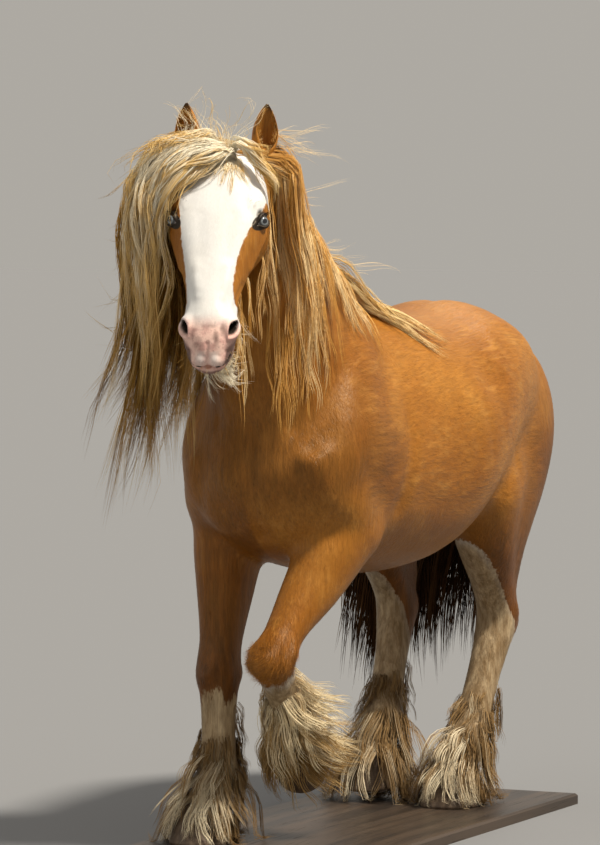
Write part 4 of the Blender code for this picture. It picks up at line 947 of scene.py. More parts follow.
def way_of_coat(points):
    """The way that the short coat lies."""
    x, y, z = points.T
    side = np.sign(x)[:, None]
    way = np.tile((0.0, 0.9, -0.42), (len(points), 1))
    front = 1 - smooth_step(-0.02, 0.22, y)
    rump = smooth_step(1.15, 1.4, y)
    upper = smooth_step(0.0, 0.12, z - 1.32 + 0.55 * np.clip(y - 0.1, -0.3, 0.4)) * (y < 0.42)
    for share, lie in ((front, np.array((0.0, 0.15, -1.0)) + side * np.array((0.45, 0, 0))),
                       (rump, np.array((0.0, 0.25, -1.0))), (upper, np.array((0.0, 0.45, -0.85)))):
        way = way * (1 - share[:, None]) + share[:, None] * lie
    for name, (_, joints) in LEGS.items():
        s = 1 if "left" in name else -1
        near = (x * s > -0.045) & ((y < 0.6) if "fore" in name else (y > 0.6))
        joints = np.array(joints)
        best = np.full(len(points), 1e9)
        bones = np.tile((0.0, 0.0, -1.0), (len(points), 1))
        for k in range(1, 4):
            bone = joints[k + 1] - joints[k]
            gap = gap_to_line(points, joints[k], joints[k + 1])
            bones[gap < best] = bone / np.linalg.norm(bone)
            best = np.minimum(best, gap)
        share = (1 - smooth_step(0.72, 0.92, z)) * near
        way = way * (1 - share)[:, None] + bones * share[:, None]
    knee = np.array(LEGS["foreleg_left"][1][2]) + np.array((0.01, -0.05, 0.03))
    gap = points - knee
    swirl = np.cross(gap, (0.3, -1.0, -0.2)) / (np.linalg.norm(gap, axis=1)[:, None] + 1e-6)
    way = way + swirl * (1.6 * np.exp(-(np.linalg.norm(gap, axis=1) / 0.085) ** 2))[:, None]
    a, _, o = head_places(points)
    face = smooth_step(-0.06, 0.02, before_neck(points)) * (z > 1.15)
    cheek = 1 - smooth_step(-0.12, -0.02, o)
    lie = np.array(DOWN) + np.outer(a / 0.1 * 0.35, np.array(LEFT)) - np.outer(cheek * 0.8, np.array(DORSAL))
    way = way * (1 - face)[:, None] + lie * face[:, None]
    return way / np.linalg.norm(way, axis=1)[:, None]


def mesh_piece(name, corners, triangles, fields, uv, smooth):
    """A mesh from arrays of corners and triangles, with numbers and a place on the map for each corner."""
    mesh = bpy.data.meshes.new(name)
    triangles = np.asarray(triangles, np.int32)
    mesh.vertices.add(len(corners))
    mesh.vertices.foreach_set("co", np.asarray(corners, np.float32).ravel())
    mesh.loops.add(triangles.size)
    mesh.loops.foreach_set("vertex_index", triangles.ravel())
    mesh.polygons.add(len(triangles))
    mesh.polygons.foreach_set("loop_start", np.arange(0, triangles.size, 3, dtype=np.int32))
    mesh.polygons.foreach_set("use_smooth", np.full(len(triangles), smooth))
    mesh.update(calc_edges=True)
    thing = placed(name, mesh)
    for key, values in fields.items():
        keep_field(thing, key, values)
    layer = mesh.uv_layers.new(name="OFBake")
    layer.data.foreach_set("uv", np.asarray(uv, np.float32)[triangles.ravel()].ravel())
    return thing


def set_down(thing, look, slot, *nodes):
    """Moves a finished piece onto the base, gives it its material and ties it to the frame."""
    thing.data.transform(Matrix.Translation(HORSE_SHIFT))
    thing.data.materials.clear()
    thing.data.materials.append(look)
    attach(thing, "root")
    if nodes:
        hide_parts(*nodes)


class Surface:
    """The skin that hair is laid on."""

    def __init__(self, things):
        corners, faces = [], []
        for thing in things:
            start = len(corners)
            corners += [v.co.copy() for v in thing.data.vertices]
            thing.data.calc_loop_triangles()
            found = np.empty(len(thing.data.loop_triangles) * 3, np.int32)
            thing.data.loop_triangles.foreach_get("vertices", found)
            faces += (found.reshape(-1, 3) + start).tolist()
        self.tree = BVHTree.FromPolygons(corners, faces, all_triangles=True)
        self.corners = np.array(corners)
        self.faces = np.array(faces)

    def nearest(self, point):
        """The skin's nearest place, the way out of it there, and how far it is."""
        place, normal, _, gap = self.tree.find_nearest(point)
        return place, normal, gap

    def clear(self, point, gap):
        """The point itself, or the nearest one that stands out of the skin by the gap."""
        place, normal, _ = self.nearest(point)
        return place + normal * gap if (point - place).dot(normal) < gap else point

    def lift(self, paths, gaps):
        """Keeps every point of many strands out of the skin by each strand's own gap."""
        for path, gap in zip(paths, gaps):
            for k in range(1, len(path)):
                point = Vector(path[k])
                place, normal, _ = self.nearest(point)
                wanted = gap * min(1, k / 2)
                if (point - place).dot(normal) < wanted:
                    path[k] = place + normal * wanted

    def sample(self, count, rng, keep):
        """Random places spread evenly over the part of the skin that keep chooses, with their normals."""
        a, b, c = (self.corners[self.faces[:, k]] for k in range(3))
        cross = np.cross(b - a, c - a)
        area = np.linalg.norm(cross, axis=1) / 2
        weight = area * keep((a + b + c) / 3)
        pick = rng.choice(len(area), count, p=weight / weight.sum())
        u, v = rng.random((2, count))
        flip = u + v > 1
        u, v = np.where(flip, 1 - u, u)[:, None], np.where(flip, 1 - v, v)[:, None]
        points = a[pick] * (1 - u - v) + b[pick] * u + c[pick] * v
        return points, cross[pick] / (2 * area[pick][:, None] + 1e-12)


def keep_off(surface, point, gap, fence, low):
    """A point kept clear of the skin, on the right side of a plane and above the floor."""
    point = surface.clear(point, gap)
    if fence is not None:
        short = (point - fence[0]).dot(fence[1])
        if short < gap:
            point = point + fence[1] * (gap - short)
    point.z = max(point.z, low)
    return point


def guide(surface, root, ways, length, bend, gap, wave=0.0, phase=0.0, fence=None, low=FLOOR_GAP, turns=1.3):
    """Points of a lock. It leaves one way, bends to a second over a length, and ends in a third."""
    leave, fall, end = (unit(way) for way in (*ways, ways[-1])[:3])
    step = length / GUIDE_STEPS
    place, normal, _ = surface.nearest(root)
    points = [place - normal * ROOT_DEPTH]
    point = place
    for k in range(GUIDE_STEPS):
        t = (k + 0.5) / GUIDE_STEPS
        way = leave.lerp(fall, float(smooth_step(0, bend, t * length)))
        way = way.lerp(end, float(smooth_step(0.55, 1.0, t)))
        swing = unit(way.cross(Vector((math.cos(WAVE * phase), math.sin(WAVE * phase), 0.3))))
        way = unit(unit(way) + swing * wave * math.sin(WAVE * (turns * t + phase)))
        point = keep_off(surface, point + way * step, gap * (0.3 + 0.7 * min(1, k / 3)), fence, low)
        points.append(point)
    return points


def follow(surface, path, length, gap, wave, phase):
    """A lock along a given path, cut to a length or hanging straight down beyond the path's end."""
    path = [Vector(p) for p in between([tuple(p) for p in path], 4)]
    gone = np.concatenate(([0.0], np.cumsum([(b - a).length for a, b in zip(path, path[1:])])))
    place, normal, _ = surface.nearest(path[0])
    points = [place - normal * ROOT_DEPTH]
    for k in range(1, GUIDE_STEPS + 1):
        t = k / GUIDE_STEPS
        way = length * t
        point = Vector([np.interp(way, gone, [p[i] for p in path]) for i in range(3)])
        point -= UP * max(0.0, way - gone[-1])
        swing = LEFT * math.sin(WAVE * (1.6 * t + phase)) + AHEAD * 0.7 * math.cos(WAVE * (1.3 * t + phase))
        point += swing * wave * t
        points.append(keep_off(surface, point, gap * (0.3 + 0.7 * min(1, k / 3)), None, FLOOR_GAP))
    return points


class Coat:
    """Strands gathered for one coat piece, made into one mesh of thin closed tapers."""

    def __init__(self, seed, points=LONG_POINTS):
        self.rng = np.random.default_rng(seed)
        self.count = points
        self.paths, self.outs, self.widths, self.tones = [], [], [], []

    def lock(self, surface, points, flat, width, depth, strands, hair, tone, frizz, clump, short, start=1.0):
        """Fills one lock with strands in small bunches, which part a little and end one after another.

        Away from the skin it lies flat to the given way. Frizz is how far its strands sway, clump how much
        it narrows to its tip, short the share of its shortest bunch, and start how wide it is at its root.
        """
        rng = self.rng
        smooth = between([tuple(p) for p in points], 3)
        frames = []
        for k, point in enumerate(points):
            way = unit(points[min(k + 1, len(points) - 1)] - points[max(k - 1, 0)])
            _, normal, gap = surface.nearest(point)
            out = normal.lerp(flat, min(1, gap / 0.08))
            across = unit(way.cross(out))
            frames.append((*across, *across.cross(way)))
        frames = np.array(frames)
        spots = np.linspace(0, 1, len(smooth))
        bunches = strands if strands < 8 else strands // 5
        bunch = rng.integers(0, bunches, strands)
        length = rng.uniform(short, 1.0, bunches)[bunch] ** 0.7 * rng.uniform(0.86, 1.0, strands)
        t = np.linspace(0, 1, self.count)[None] * length[:, None]
        line = np.stack([np.interp(t, spots, smooth[:, k]) for k in range(3)], 2)
        at = np.linspace(0, 1, len(points))
        across = np.stack([np.interp(t, at, frames[:, k]) for k in range(3)], 2)
        out = np.stack([np.interp(t, at, frames[:, k]) for k in range(3, 6)], 2)
        s = rng.uniform(-1, 1, bunches)
        o = rng.uniform(-1, 1, bunches) * np.sqrt(1 - s * s)
        s = s[bunch] * 0.85 + rng.normal(0, 0.17, strands)
        o = o[bunch] * 0.85 + rng.normal(0, 0.17, strands)
        spread = (1 - clump * smooth_step(0.15, 1.0, t)) * (start + (1 - start) * smooth_step(0.0, 0.2, t))

        def sway():
            """A slow sway of each bunch, with a little of each strand's own."""
            total = 0
            for many, pick, share in ((bunches, bunch, 1.0), (strands, slice(None), 0.35)):
                size, phase = rng.normal(0, share, (many, 1)), rng.uniform(0, WAVE, (many, 1))
                total = total + size[pick] * np.sin(t * rng.uniform(2, 9, (many, 1))[pick] + phase[pick])
            return total * t

        side = s[:, None] * width / 2 * spread + frizz * sway()
        rise = o[:, None] * depth / 2 * spread + frizz * 0.7 * sway()
        tones = tone + rng.normal(0, 0.09, bunches)[bunch] + rng.normal(0, 0.05, strands)
        self.keep(line + across * side[:, :, None] + out * rise[:, :, None], out,
                  hair * rng.uniform(0.7, 1.2, strands), np.clip(tones, 0, 1))

    def keep(self, paths, outs, widths, tones):
        """Keeps strands: their points, their way out, their widths and their tones."""
        self.paths.append(paths)
        self.outs.append(outs)
        self.widths.append(widths)
        self.tones.append(tones)

    def piece(self, name, spread, surface=None, section=0.45, low=0.001, smooth=True):
        """One mesh with a small patch of the OFBake map for each strand, at its root's place."""
        paths, outs, widths, tones = (np.concatenate(kept) for kept in (
            self.paths, self.outs, self.widths, self.tones))
        if surface is not None:
            surface.lift(paths, 0.002 * self.rng.uniform(0.3, 2.0, len(paths)))
        paths[:, :, 2] = np.maximum(paths[:, :, 2], low)
        many, count = paths.shape[:2]
        way = np.gradient(paths, axis=1)
        way /= np.linalg.norm(way, axis=2)[:, :, None] + 1e-12
        across = np.cross(way, outs)
        across /= np.linalg.norm(across, axis=2)[:, :, None] + 1e-12
        out = np.cross(across, way)
        t = np.linspace(0, 1, count)
        taper = np.interp(t, (0, 0.2, 0.7, 1), (0.7, 1.0, 0.9, 0.2))[None, :, None]
        rings = []
        for angle in (math.pi / 2, math.pi * 7 / 6, math.pi * 11 / 6):
            reach = across * math.cos(angle) + out * math.sin(angle) * section
            rings.append(paths + reach * taper * widths[:, None, None] / 2)
        rings = np.stack(rings, 2)[:, :-1]
        corners = np.concatenate((rings.reshape(many, -1, 3), paths[:, -1:]), 1)
        each = corners.shape[1]
        faces = [(0, 2, 1)]
        for k in range(count - 2):
            for j in range(3):
                a, b = 3 * k + j, 3 * k + (j + 1) % 3
                faces += [(a, b, b + 3), (a, b + 3, a + 3)]
        last = 3 * (count - 2)
        faces += [(last + j, last + (j + 1) % 3, each - 1) for j in range(3)]
        triangles = (np.array(faces)[None] + each * np.arange(many)[:, None, None]).reshape(-1, 3)
        along = np.tile(np.append(np.repeat(t[:-1], 3), 1.0), many)
        roots = spread(paths[:, 0])
        low_corner, size = roots.min(0), np.ptp(roots, axis=0) + 1e-9
        roots = 0.003 + (roots - low_corner) / size * 0.99
        beside = np.append(np.tile((0.5, 0.0, 1.0), count - 1), 0.5)
        patch = np.stack((np.tile(beside, many), along), 1) * PATCH
        uv = np.repeat(roots, each, axis=0) + patch - PATCH / 2
        fields = {"along": along, "tone": np.repeat(tones, each)}
        return mesh_piece(name, corners.reshape(-1, 3), triangles, fields, uv, smooth)


def evenly(i, many, jitter, power):
    """The share of the i-th of many locks, a little off its place and closer at the start."""
    return min(1, max(0, (i + jitter) / (many - 1))) ** power


def along_crest(points):
    """An unwrap of the crest: how far back from the poll, and how far round to the side."""
    middle = np.array([crest(share) for share in np.linspace(-0.1, 1.1, 25)])
    x = np.interp(points[:, 1], middle[:, 1], middle[:, 0])
    z = np.interp(points[:, 1], middle[:, 1], middle[:, 2])
    return np.stack((points[:, 1], np.arctan2(points[:, 0] - x, points[:, 2] - z + 0.15)), 1)


def round_head():
    """An unwrap of the head round the line inside it."""
    return round_line(on_head(0, 0, -0.1), on_head(0, 0.6, -0.1))


def round_line(start, stop):
    """An unwrap of the skin round a line: how far along it, and the angle round it."""
    start, stop = np.array(start), np.array(stop)
    way = (stop - start) / np.linalg.norm(stop - start)
    first = np.cross(way, (0, 0, 1) if abs(way[2]) < 0.8 else (0, 1, 0))
    first /= np.linalg.norm(first)
    second = np.cross(way, first)

    def spread(points):
        gap = points - start
        return np.stack((gap @ way, np.arctan2(gap @ second, gap @ first)), 1)
    return spread


def mane(surface):
    """Long waving locks from the crest, carried out over the right side and hanging by the cheek."""
    rng = random.Random(SEED)
    fence = (POLL - LEFT * 0.13 - AHEAD * 0.03, unit(-AHEAD * 0.75 - LEFT * 0.66))
    near, far = Coat(SEED), Coat(SEED + 1)
    for i in range(MANE_LOCKS):
        share = -0.1 + 1.1 * evenly(i, MANE_LOCKS, rng.uniform(-0.5, 0.5), 1.35)
        behind = max(share, 0)
        outer = ((i % 5) / 4) ** 0.8
        long = rng.random() ** 0.8
        root = crest(share) + SIDE * (0.016 - 0.036 * (1 - outer))
        leave = Vector((-0.95, -0.25 + 0.35 * share, 0.05 + 0.14 * outer))
        fall = Vector((rng.uniform(-0.09, 0.03), -0.1 + 0.16 * share + rng.uniform(-0.05, 0.05), -1))
        end = fall + Vector((-0.12 * long - 0.6 * (1 - long), rng.uniform(-0.3, 0.1), 0.4 * (1 - long)))
        length = (1.08 - 0.48 * behind ** 0.8 - 0.9 * max(share - 0.72, 0)) * (0.72 + 0.31 * long)
        bend = 0.12 + 0.2 * outer + 0.6 * min(behind, 0.5) * (0.3 + 0.7 * outer)
        points = guide(surface, root, (leave, fall, end), length, bend * rng.uniform(0.85, 1.1),
                       0.012 + 0.022 * outer, rng.uniform(0.12, 0.38), rng.random(), fence,
                       turns=rng.uniform(1.6, 2.8))
        coat = near if i % 2 else far
        # Inner locks are a little darker: painted shade deep in the mane
        coat.lock(surface, points, unit((-1, -0.35 + 0.3 * share, 0.1)), 0.066 * rng.uniform(0.6, 1.2), 0.032,
                  MANE_STRANDS, MANE_HAIR, rng.uniform(0.25, 0.88) - 0.12 * (1 - outer), 0.01, 0.1, 0.78)
    for i in range(CHEEK_LOCKS):
        root = crest(rng.uniform(-0.08, 0.12)) - SIDE * 0.02
        fall = Vector((rng.uniform(-0.1, 0.02), rng.uniform(-0.06, 0.1), -1))
        leave = Vector((-0.95, rng.uniform(-0.5, 0.1), 0.0))
        points = guide(surface, root, (leave, fall), rng.uniform(0.62, 1.04), rng.uniform(0.16, 0.34), 0.01,
                       rng.uniform(0.12, 0.3), rng.random(), fence, turns=2.2)
        coat = far if i % 3 else near
        coat.lock(surface, points, unit((-1, -0.3, 0)), 0.07, 0.03, CHEEK_STRANDS, MANE_HAIR,
                  rng.uniform(0.45, 0.95), 0.01, 0.1, 0.7)
    for i in range(WITHERS_LOCKS):
        root = crest(0.8 + 0.009 * i) + SIDE * 0.01
        fall = Vector((rng.uniform(0.16, 0.4), rng.uniform(0.55, 0.95), -0.66))
        end = fall + Vector((rng.uniform(-0.4, 0.4), 0.2, rng.uniform(-0.3, 0.6)))
        points = guide(surface, root, (Vector((0.5, 0.6, 0.0)), fall, end), rng.uniform(0.28, 0.62), 0.16,
                       rng.uniform(0.004, 0.018), rng.uniform(0.15, 0.4), rng.random(), turns=1.8)
        near.lock(surface, points, unit((0.7, 0, 0.7)), 0.036, 0.022, WITHERS_STRANDS, MANE_HAIR * 0.8,
                  rng.uniform(0.7, 1.1), 0.014, 0.25, 0.4)
    for i in range(MANE_WISPS):
        root = crest(0.35 * rng.random())
        end = Vector((rng.uniform(-1.5, -0.3), rng.uniform(-0.6, 0.2), rng.uniform(-0.5, 1.3)))
        points = guide(surface, root, (Vector((-0.95, -0.2, 0.2)), Vector((-0.05, -0.06, -1)), end),
                       rng.uniform(0.4, 0.86), rng.uniform(0.26, 0.44), 0.03, 0.34, rng.random(), fence,
                       turns=2.4)
        far.lock(surface, points, unit((-1, -0.3, 0)), 0.02, 0.014, WISP_STRANDS, MANE_HAIR * 0.7, 0.85,
                 0.012, 0.35, 0.6)
    return near.piece("mane_inner", along_crest, surface), far.piece("mane_outer", along_crest, surface)


def mane_left(surface):
    """Thinner golden hair on the left of the neck, from behind the ear to the shoulder."""
    rng = random.Random(SEED + 2)
    fence = (POLL + LEFT * 0.13 - AHEAD * 0.07, unit(-AHEAD * 0.8 + LEFT * 0.6))
    flat = unit((1, -0.2, 0.2))
    coat = Coat(SEED + 2)
    for i in range(MANE_LEFT_LOCKS):
        share = -0.12 + 0.98 * evenly(i, MANE_LEFT_LOCKS, rng.uniform(-0.4, 0.4), 1.9)
        at_poll = share < 0.1
        root = crest(share) + SIDE * rng.uniform(0.004, 0.034)
        ahead = 0.1 + 0.2 * at_poll * rng.random()
        fall = Vector((0.1, 0.26 * share - ahead + rng.uniform(-0.06, 0.06), -1))
        length = rng.uniform(0.44, 0.78) * (1 - 0.52 * max(share, 0))
        points = guide(surface, root, (Vector((0.8, -0.1, -0.25)), fall), length, 0.14,
                       rng.uniform(0.005, 0.022), rng.uniform(0.1, 0.34), rng.random(), fence, turns=2.0)
        # Locks at the poll are darker: painted shade on that part of the neck
        coat.lock(surface, points, flat, 0.056 * rng.uniform(0.7, 1.2), 0.016, MANE_LEFT_STRANDS,
                  MANE_HAIR * 0.75, rng.uniform(0.46, 1.0) - 0.15 * at_poll, 0.009, 0.2, 0.4)
    for i in range(SHORT_LEFT_LOCKS):
        share, drop = rng.uniform(-0.05, 0.5), rng.uniform(0.06, 0.46)
        root = crest(share) + Vector((0.12, 0.04 - 0.3 * drop + rng.uniform(-0.03, 0.03), -drop))
        fall = Vector((0.05, rng.uniform(-0.2, 0.12), -1))
        points = guide(surface, root, (fall, fall), rng.uniform(0.16, 0.38), 0.1, rng.uniform(0.004, 0.01),
                       rng.uniform(0.1, 0.3), rng.random(), turns=1.6)
        coat.lock(surface, points, flat, 0.054, 0.008, SHORT_LEFT_STRANDS, MANE_HAIR * 0.6,
                  rng.uniform(0.32, 0.85), 0.009, 0.1, 0.3)
    for i in range(CREST_STRAYS):
        share = rng.choice((0.02, 0.06, 0.1, 0.55, 0.8, 0.9)) + rng.uniform(-0.04, 0.04)
        away = Vector((rng.uniform(0.3, 1.2), rng.uniform(0.2, 1.2), rng.uniform(-0.5, 0.4)))
        points = guide(surface, crest(share), (Vector((0.7, 0.3, 0.7)), away, away - UP * 0.5),
                       rng.uniform(0.12, 0.3), 0.08, 0.01, 0.3, rng.random(), fence)
        coat.lock(surface, points, UP, 0.016, 0.014, STRAY_STRANDS, MANE_HAIR * 0.5, 0.95, 0.012, 0.1, 0.7)
    return coat.piece("mane_left", along_crest, surface)


def forelock(surface):
    """Hair from between the ears, most of it swept over the brow and the right ear's root."""
    rng = random.Random(SEED + 3)
    coat = Coat(SEED + 3)
    for i in range(FORELOCKS):
        if i % 6 == 5:
            shift, drop = rng.uniform(-0.008, 0.045), rng.uniform(-0.012, 0.012)
            path = [on_head(a + shift * (k + 1) / 5, d + drop * (k + 1) / 4, o + shift * 0.2)
                    for k, (a, d, o) in enumerate(FORELOCK_LEFT)]
            length, wide, strands = rng.uniform(0.1, 0.24), 0.022, FORELOCK_STRANDS // 2
        else:
            start = (i * EVEN_SHARE) % 1.0
            stop = min(1.1, max(-0.1, start + rng.uniform(-0.45, 0.45)))
            path = []
            for k, (low, high) in enumerate(zip(FORELOCK_FRONT, FORELOCK_BACK)):
                back = start + (stop - start) * k / 6
                loose = 1 + min(k, 1)
                path.append(on_head(*(p + (q - p) * back + rng.uniform(-0.009, 0.009) * loose
                                      for p, q in zip(low, high))))
            length, wide, strands = rng.uniform(0.3, 0.86), 0.036, FORELOCK_STRANDS
        points = follow(surface, path, length, 0.005 + 0.018 * rng.random(), rng.uniform(0.01, 0.034),
                        rng.random())
        coat.lock(surface, points, unit(DORSAL * 0.8 - LEFT * 0.5), wide * rng.uniform(0.6, 1.2), 0.022,
                  strands, MANE_HAIR * 0.75, rng.uniform(0.55, 1.05), rng.uniform(0.007, 0.015), 0.2, 0.45)
    for i in range(BROW_EDGE_LOCKS):
        path = [on_head(a - 0.012 * k, d + rng.uniform(-0.01, 0.01), o + 0.01)
                for k, (a, d, o) in enumerate(FORELOCK_BACK[:5])]
        points = follow(surface, path, rng.uniform(0.16, 0.36), 0.03, rng.uniform(0.03, 0.06), rng.random())
        coat.lock(surface, points, DORSAL, 0.022, 0.016, BROW_EDGE_STRANDS, MANE_HAIR * 0.6,
                  rng.uniform(0.5, 1.0), 0.014, 0.1, 0.5)
    for i in range(BROW_LOW_LOCKS):
        down = rng.uniform(0.0, 0.05)
        path = [on_head(a + rng.uniform(-0.008, 0.008), d + down * min(k, 2) / 2, o)
                for k, (a, d, o) in enumerate(FORELOCK_FRONT)]
        points = follow(surface, path, rng.uniform(0.12, 0.4), 0.003, 0.02, rng.random())
        coat.lock(surface, points, DORSAL, 0.016, 0.008, BROW_LOW_STRANDS, MANE_HAIR * 0.6,
                  rng.uniform(0.5, 1.0), 0.008, 0.1, 0.5)
    for i in range(BROW_TUFTS):
        turn = rng.uniform(-0.75, 0.85)
        fall = DOWN + LEFT * turn
        root = on_head(rng.uniform(0.0, 0.05), rng.uniform(0.0, 0.03), 0.045)
        points = guide(surface, root, (fall + DORSAL * 0.3, fall, fall + LEFT * turn),
                       rng.uniform(0.06, 0.14), 0.05, 0.002, 0.25, rng.random())
        coat.lock(surface, points, DORSAL, 0.022, 0.005, BROW_TUFT_STRANDS, MANE_HAIR * 0.5,
                  rng.uniform(0.7, 1.1), 0.005, 0.0, 0.5)
    for i in range(BROW_STRAYS):
        root = on_head(rng.uniform(-0.1, 0.045), -0.02 + 0.03 * rng.random(), 0.02)
        rise = UP * 0.9 - LEFT * rng.uniform(-0.6, 0.8) + DORSAL * rng.uniform(-0.2, 0.4)
        drop = rise - UP * rng.uniform(0.8, 1.6) - LEFT * rng.uniform(-0.8, 1.2)
        points = guide(surface, root, (rise, rise, drop), rng.uniform(0.07, 0.2), 0.1, 0.004, 0.5,
                       rng.random())
        coat.lock(surface, points, DORSAL, 0.022, 0.016, STRAY_STRANDS, MANE_HAIR * 0.45, 0.95,
                  0.014, 0.1, 0.5)
    return coat.piece("forelock", round_head(), surface)


def beard(surface):
    """Wispy pale hair under the chin and jaw, blown to the left."""
    rng = random.Random(SEED + 4)
    coat = Coat(SEED + 4, BEARD_POINTS)
    for i in range(BEARD_LOCKS):
        share = (i / (BEARD_LOCKS - 1)) ** 0.7
        root = on_head(rng.uniform(-0.026, 0.058), 0.34 + 0.23 * share, -0.15 + 0.04 * share)
        fall = -UP * 0.7 + LEFT * rng.uniform(0.1, 1.1) - AHEAD * 0.25
        end = fall + LEFT * rng.uniform(0.2, 1.0) + UP * rng.uniform(-0.2, 0.9)
        points = guide(surface, root, (-DORSAL - UP * 0.3, fall, end),
                       rng.uniform(0.06, 0.17) * (1.1 - 0.2 * share), 0.08, 0.004, 0.4, rng.random())
        coat.lock(surface, points, -DORSAL, 0.034, 0.022, BEARD_STRANDS, BEARD_HAIR, rng.uniform(0.7, 1.15),
                  0.018, 0.0, 0.35)
    return coat.piece("beard", round_head(), surface)


def feather(surface, name):
    """Leg hair from the cannon and all round the fetlock, over the whole foot."""
    knee, fetlock, coronet = (Vector(j) for j in LEGS[name][1][2:])
    ground, toe = sole_axes(name)
    raised = is_raised(name)
    rng = random.Random(SEED + 5 + len(name) + 7 * ("left" in name))
    coat = Coat(SEED + 5 + 10 * list(LEGS).index(name), FEATHER_POINTS)
    cannon, pastern = unit(fetlock - knee), unit(coronet - fetlock)
    start = 0.2 if "fore" in name else 0.38
    for i in range(FEATHER_LOCKS):
        kind = i % 10
        turn = EVEN_TURN * i
        if kind < 2:
            up = rng.random() ** 0.7
            centre = knee.lerp(fetlock, start + (0.98 - start) * up)
            turn = math.pi + (3.1 if raised else 1.3) * rng.uniform(-1, 1)
            lie, stand, length = cannon, 0.05 + 0.24 * up, rng.uniform(0.1, 0.17)
        elif kind < 4:
            up = rng.random()
            centre = knee.lerp(fetlock, 0.62 + 0.38 * up)
            lie, stand, length = cannon, 0.04 + 0.22 * up, rng.uniform(0.06, 0.13)
        elif kind < 7:
            centre = fetlock.lerp(coronet, -0.25 + 0.8 * rng.random())
            lie, stand = pastern, rng.uniform(0.2, 0.58)
            length = centre.z * 1.05 + rng.uniform(0.03, 0.09)
        else:
            centre = fetlock.lerp(coronet, rng.uniform(0.7, 1.05))
            lie, stand = pastern, rng.uniform(0.1, 0.4)
            length = centre.z * 1.25 + rng.uniform(0.06, 0.11)
        ahead = unit(toe - lie * toe.dot(lie))
        way = SIDE * math.sin(turn) + ahead * math.cos(turn)
        leave, fall = way * (0.25 + stand) + lie, way * stand - UP
        end = way * (0.25 + 0.7 * stand) - UP * 0.8
        if raised:
            out = float(smooth_step(0.1, 1.0, way.dot(Vector((0.9, 0.43, 0)))))
            fall = (Vector((0.85, 0.42, -0.2)) * out + Vector((0.05, 0.15, -0.8)) * (1.1 - out) + way * 0.15
                    + ground * (0.2 if kind < 4 else 0.8 * (1 - out)))
            end = fall * 0.6 + ground * 0.5 - way * 0.45 - UP * 0.3
            length = rng.uniform(0.12, 0.24) if kind < 4 else rng.uniform(0.15, 0.23)
        points = guide(surface, centre + way * 0.08, (leave, fall, end), length, length * 0.55,
                       0.003 + 0.016 * rng.random(), rng.uniform(0.16, 0.5), rng.random(),
                       low=0.003 + 0.014 * rng.random(), turns=rng.uniform(1.0, 2.0))
        if raised:
            tone = rng.uniform(0.46, 0.84) + 0.2 * (kind < 4) - 0.28 * (kind >= 7)
        else:
            pale = 0.15 if kind < 4 else 0.32 if kind < 7 else 0.7
            pale = pale * max(0.0, math.cos(turn))
            # The right hind foot's hair is kept darker as painted shade
            tone = rng.uniform(0.18, 0.5) + pale * rng.uniform(0.6, 1.1) * FOOT_PALENESS_AND_SHADE[name]
        coat.lock(surface, points, way, 0.074 * rng.uniform(0.7, 1.2), 0.03, FEATHER_STRANDS, FEATHER_HAIR,
                  tone, 0.007, 0.05, 0.4)
    return coat.piece(name + "_feather", round_line(knee, coronet + ground * 0.05), surface)


def tail(surface, root_of_tail):
    """A full tail from the dock, falling and swung to the right."""
    rng = random.Random(SEED + 6)
    core = Surface([root_of_tail])
    coats = (Coat(SEED + 6), Coat(SEED + 7))
    top = 1.268
    for i in range(TAIL_LOCKS):
        turn = EVEN_TURN * i
        side = (i * EVEN_SHARE) % 1.0
        if i % 6 == 5:
            centre = Vector((rng.uniform(-0.02, 0.02), rng.uniform(1.44, 1.53), 1.3))
            way = Vector((0.5 * math.sin(turn), 0.9, 0.25))
        else:
            z = top - 0.25 * i / (TAIL_LOCKS - 1)
            centre = Vector((dock_side(z), 1.552 - 0.06 * (z > 1.25), z))
            way = Vector((0.8 * math.sin(turn), 0.4 + 0.6 * math.cos(turn), 0.1))
        fall = Vector((-0.08 - 0.52 * (1 - side) ** 1.4, -0.2 + 0.16 * side, -1))
        length = (1.15 - 0.4 * side * side) * rng.uniform(0.9, 1.0) - 0.8 * (top - min(centre.z, top))
        points = guide(core, centre + way * 0.01,
                       (way * 0.5 - UP * 0.6 - SIDE * 0.25, fall, Vector((0.02, -0.04, -1))), length, 0.14,
                       0.003, rng.uniform(0.1, 0.26), rng.random(), low=0.05)
        points = [points[0]] + [surface.clear(p, 0.02) for p in points[1:]]
        coats[i % 2].lock(core, points, unit(way + BACK), 0.09 * rng.uniform(0.7, 1.15), 0.04,
                          TAIL_STRANDS, TAIL_HAIR, rng.uniform(0.0, 0.75) * (0.4 + 0.6 * rng.random()),
                          0.01, 0.12, 0.82, 0.3)
    spread = round_line((0, 1.5, 1.3), (0, 1.56, 0.9))
    return coats[0].piece("tail_inner", spread), coats[1].piece("tail_outer", spread)


def short_coat(surface, name, count, length, width, keep, spread):
    """Short tufts that lie along the body and break its outline a little."""
    seed = SEED + count
    rng = np.random.default_rng(seed)
    points, normals = surface.sample(count, rng, keep)
    masks = markings(points)
    way = way_of_coat(points) + rng.normal(0, 0.14, (count, 3))
    way -= normals * (way * normals).sum(1)[:, None]
    way /= np.linalg.norm(way, axis=1)[:, None]
    long = length * rng.uniform(0.6, 1.3, count)[:, None]
    long = long * (1 - 0.6 * np.maximum(masks["pink"], masks["black"]))[:, None]
    tip = points + way * long + normals * (0.0006 + long * rng.uniform(0.03, 0.1, count)[:, None])
    coat = Coat(seed, TUFT_POINTS)
    coat.keep(np.stack((points - normals * 0.0006, tip), 1), np.stack((normals, normals), 1),
              width * rng.uniform(0.7, 1.3, count), rng.random(count))
    made = coat.piece(name, spread, section=0.22, low=0.0005, smooth=False)
    masks["white"] = masks["white"] + rng.normal(0, 0.1, count)
    for key in MASKS:
        keep_field(made, key, np.repeat(masks[key], 4))
    return made


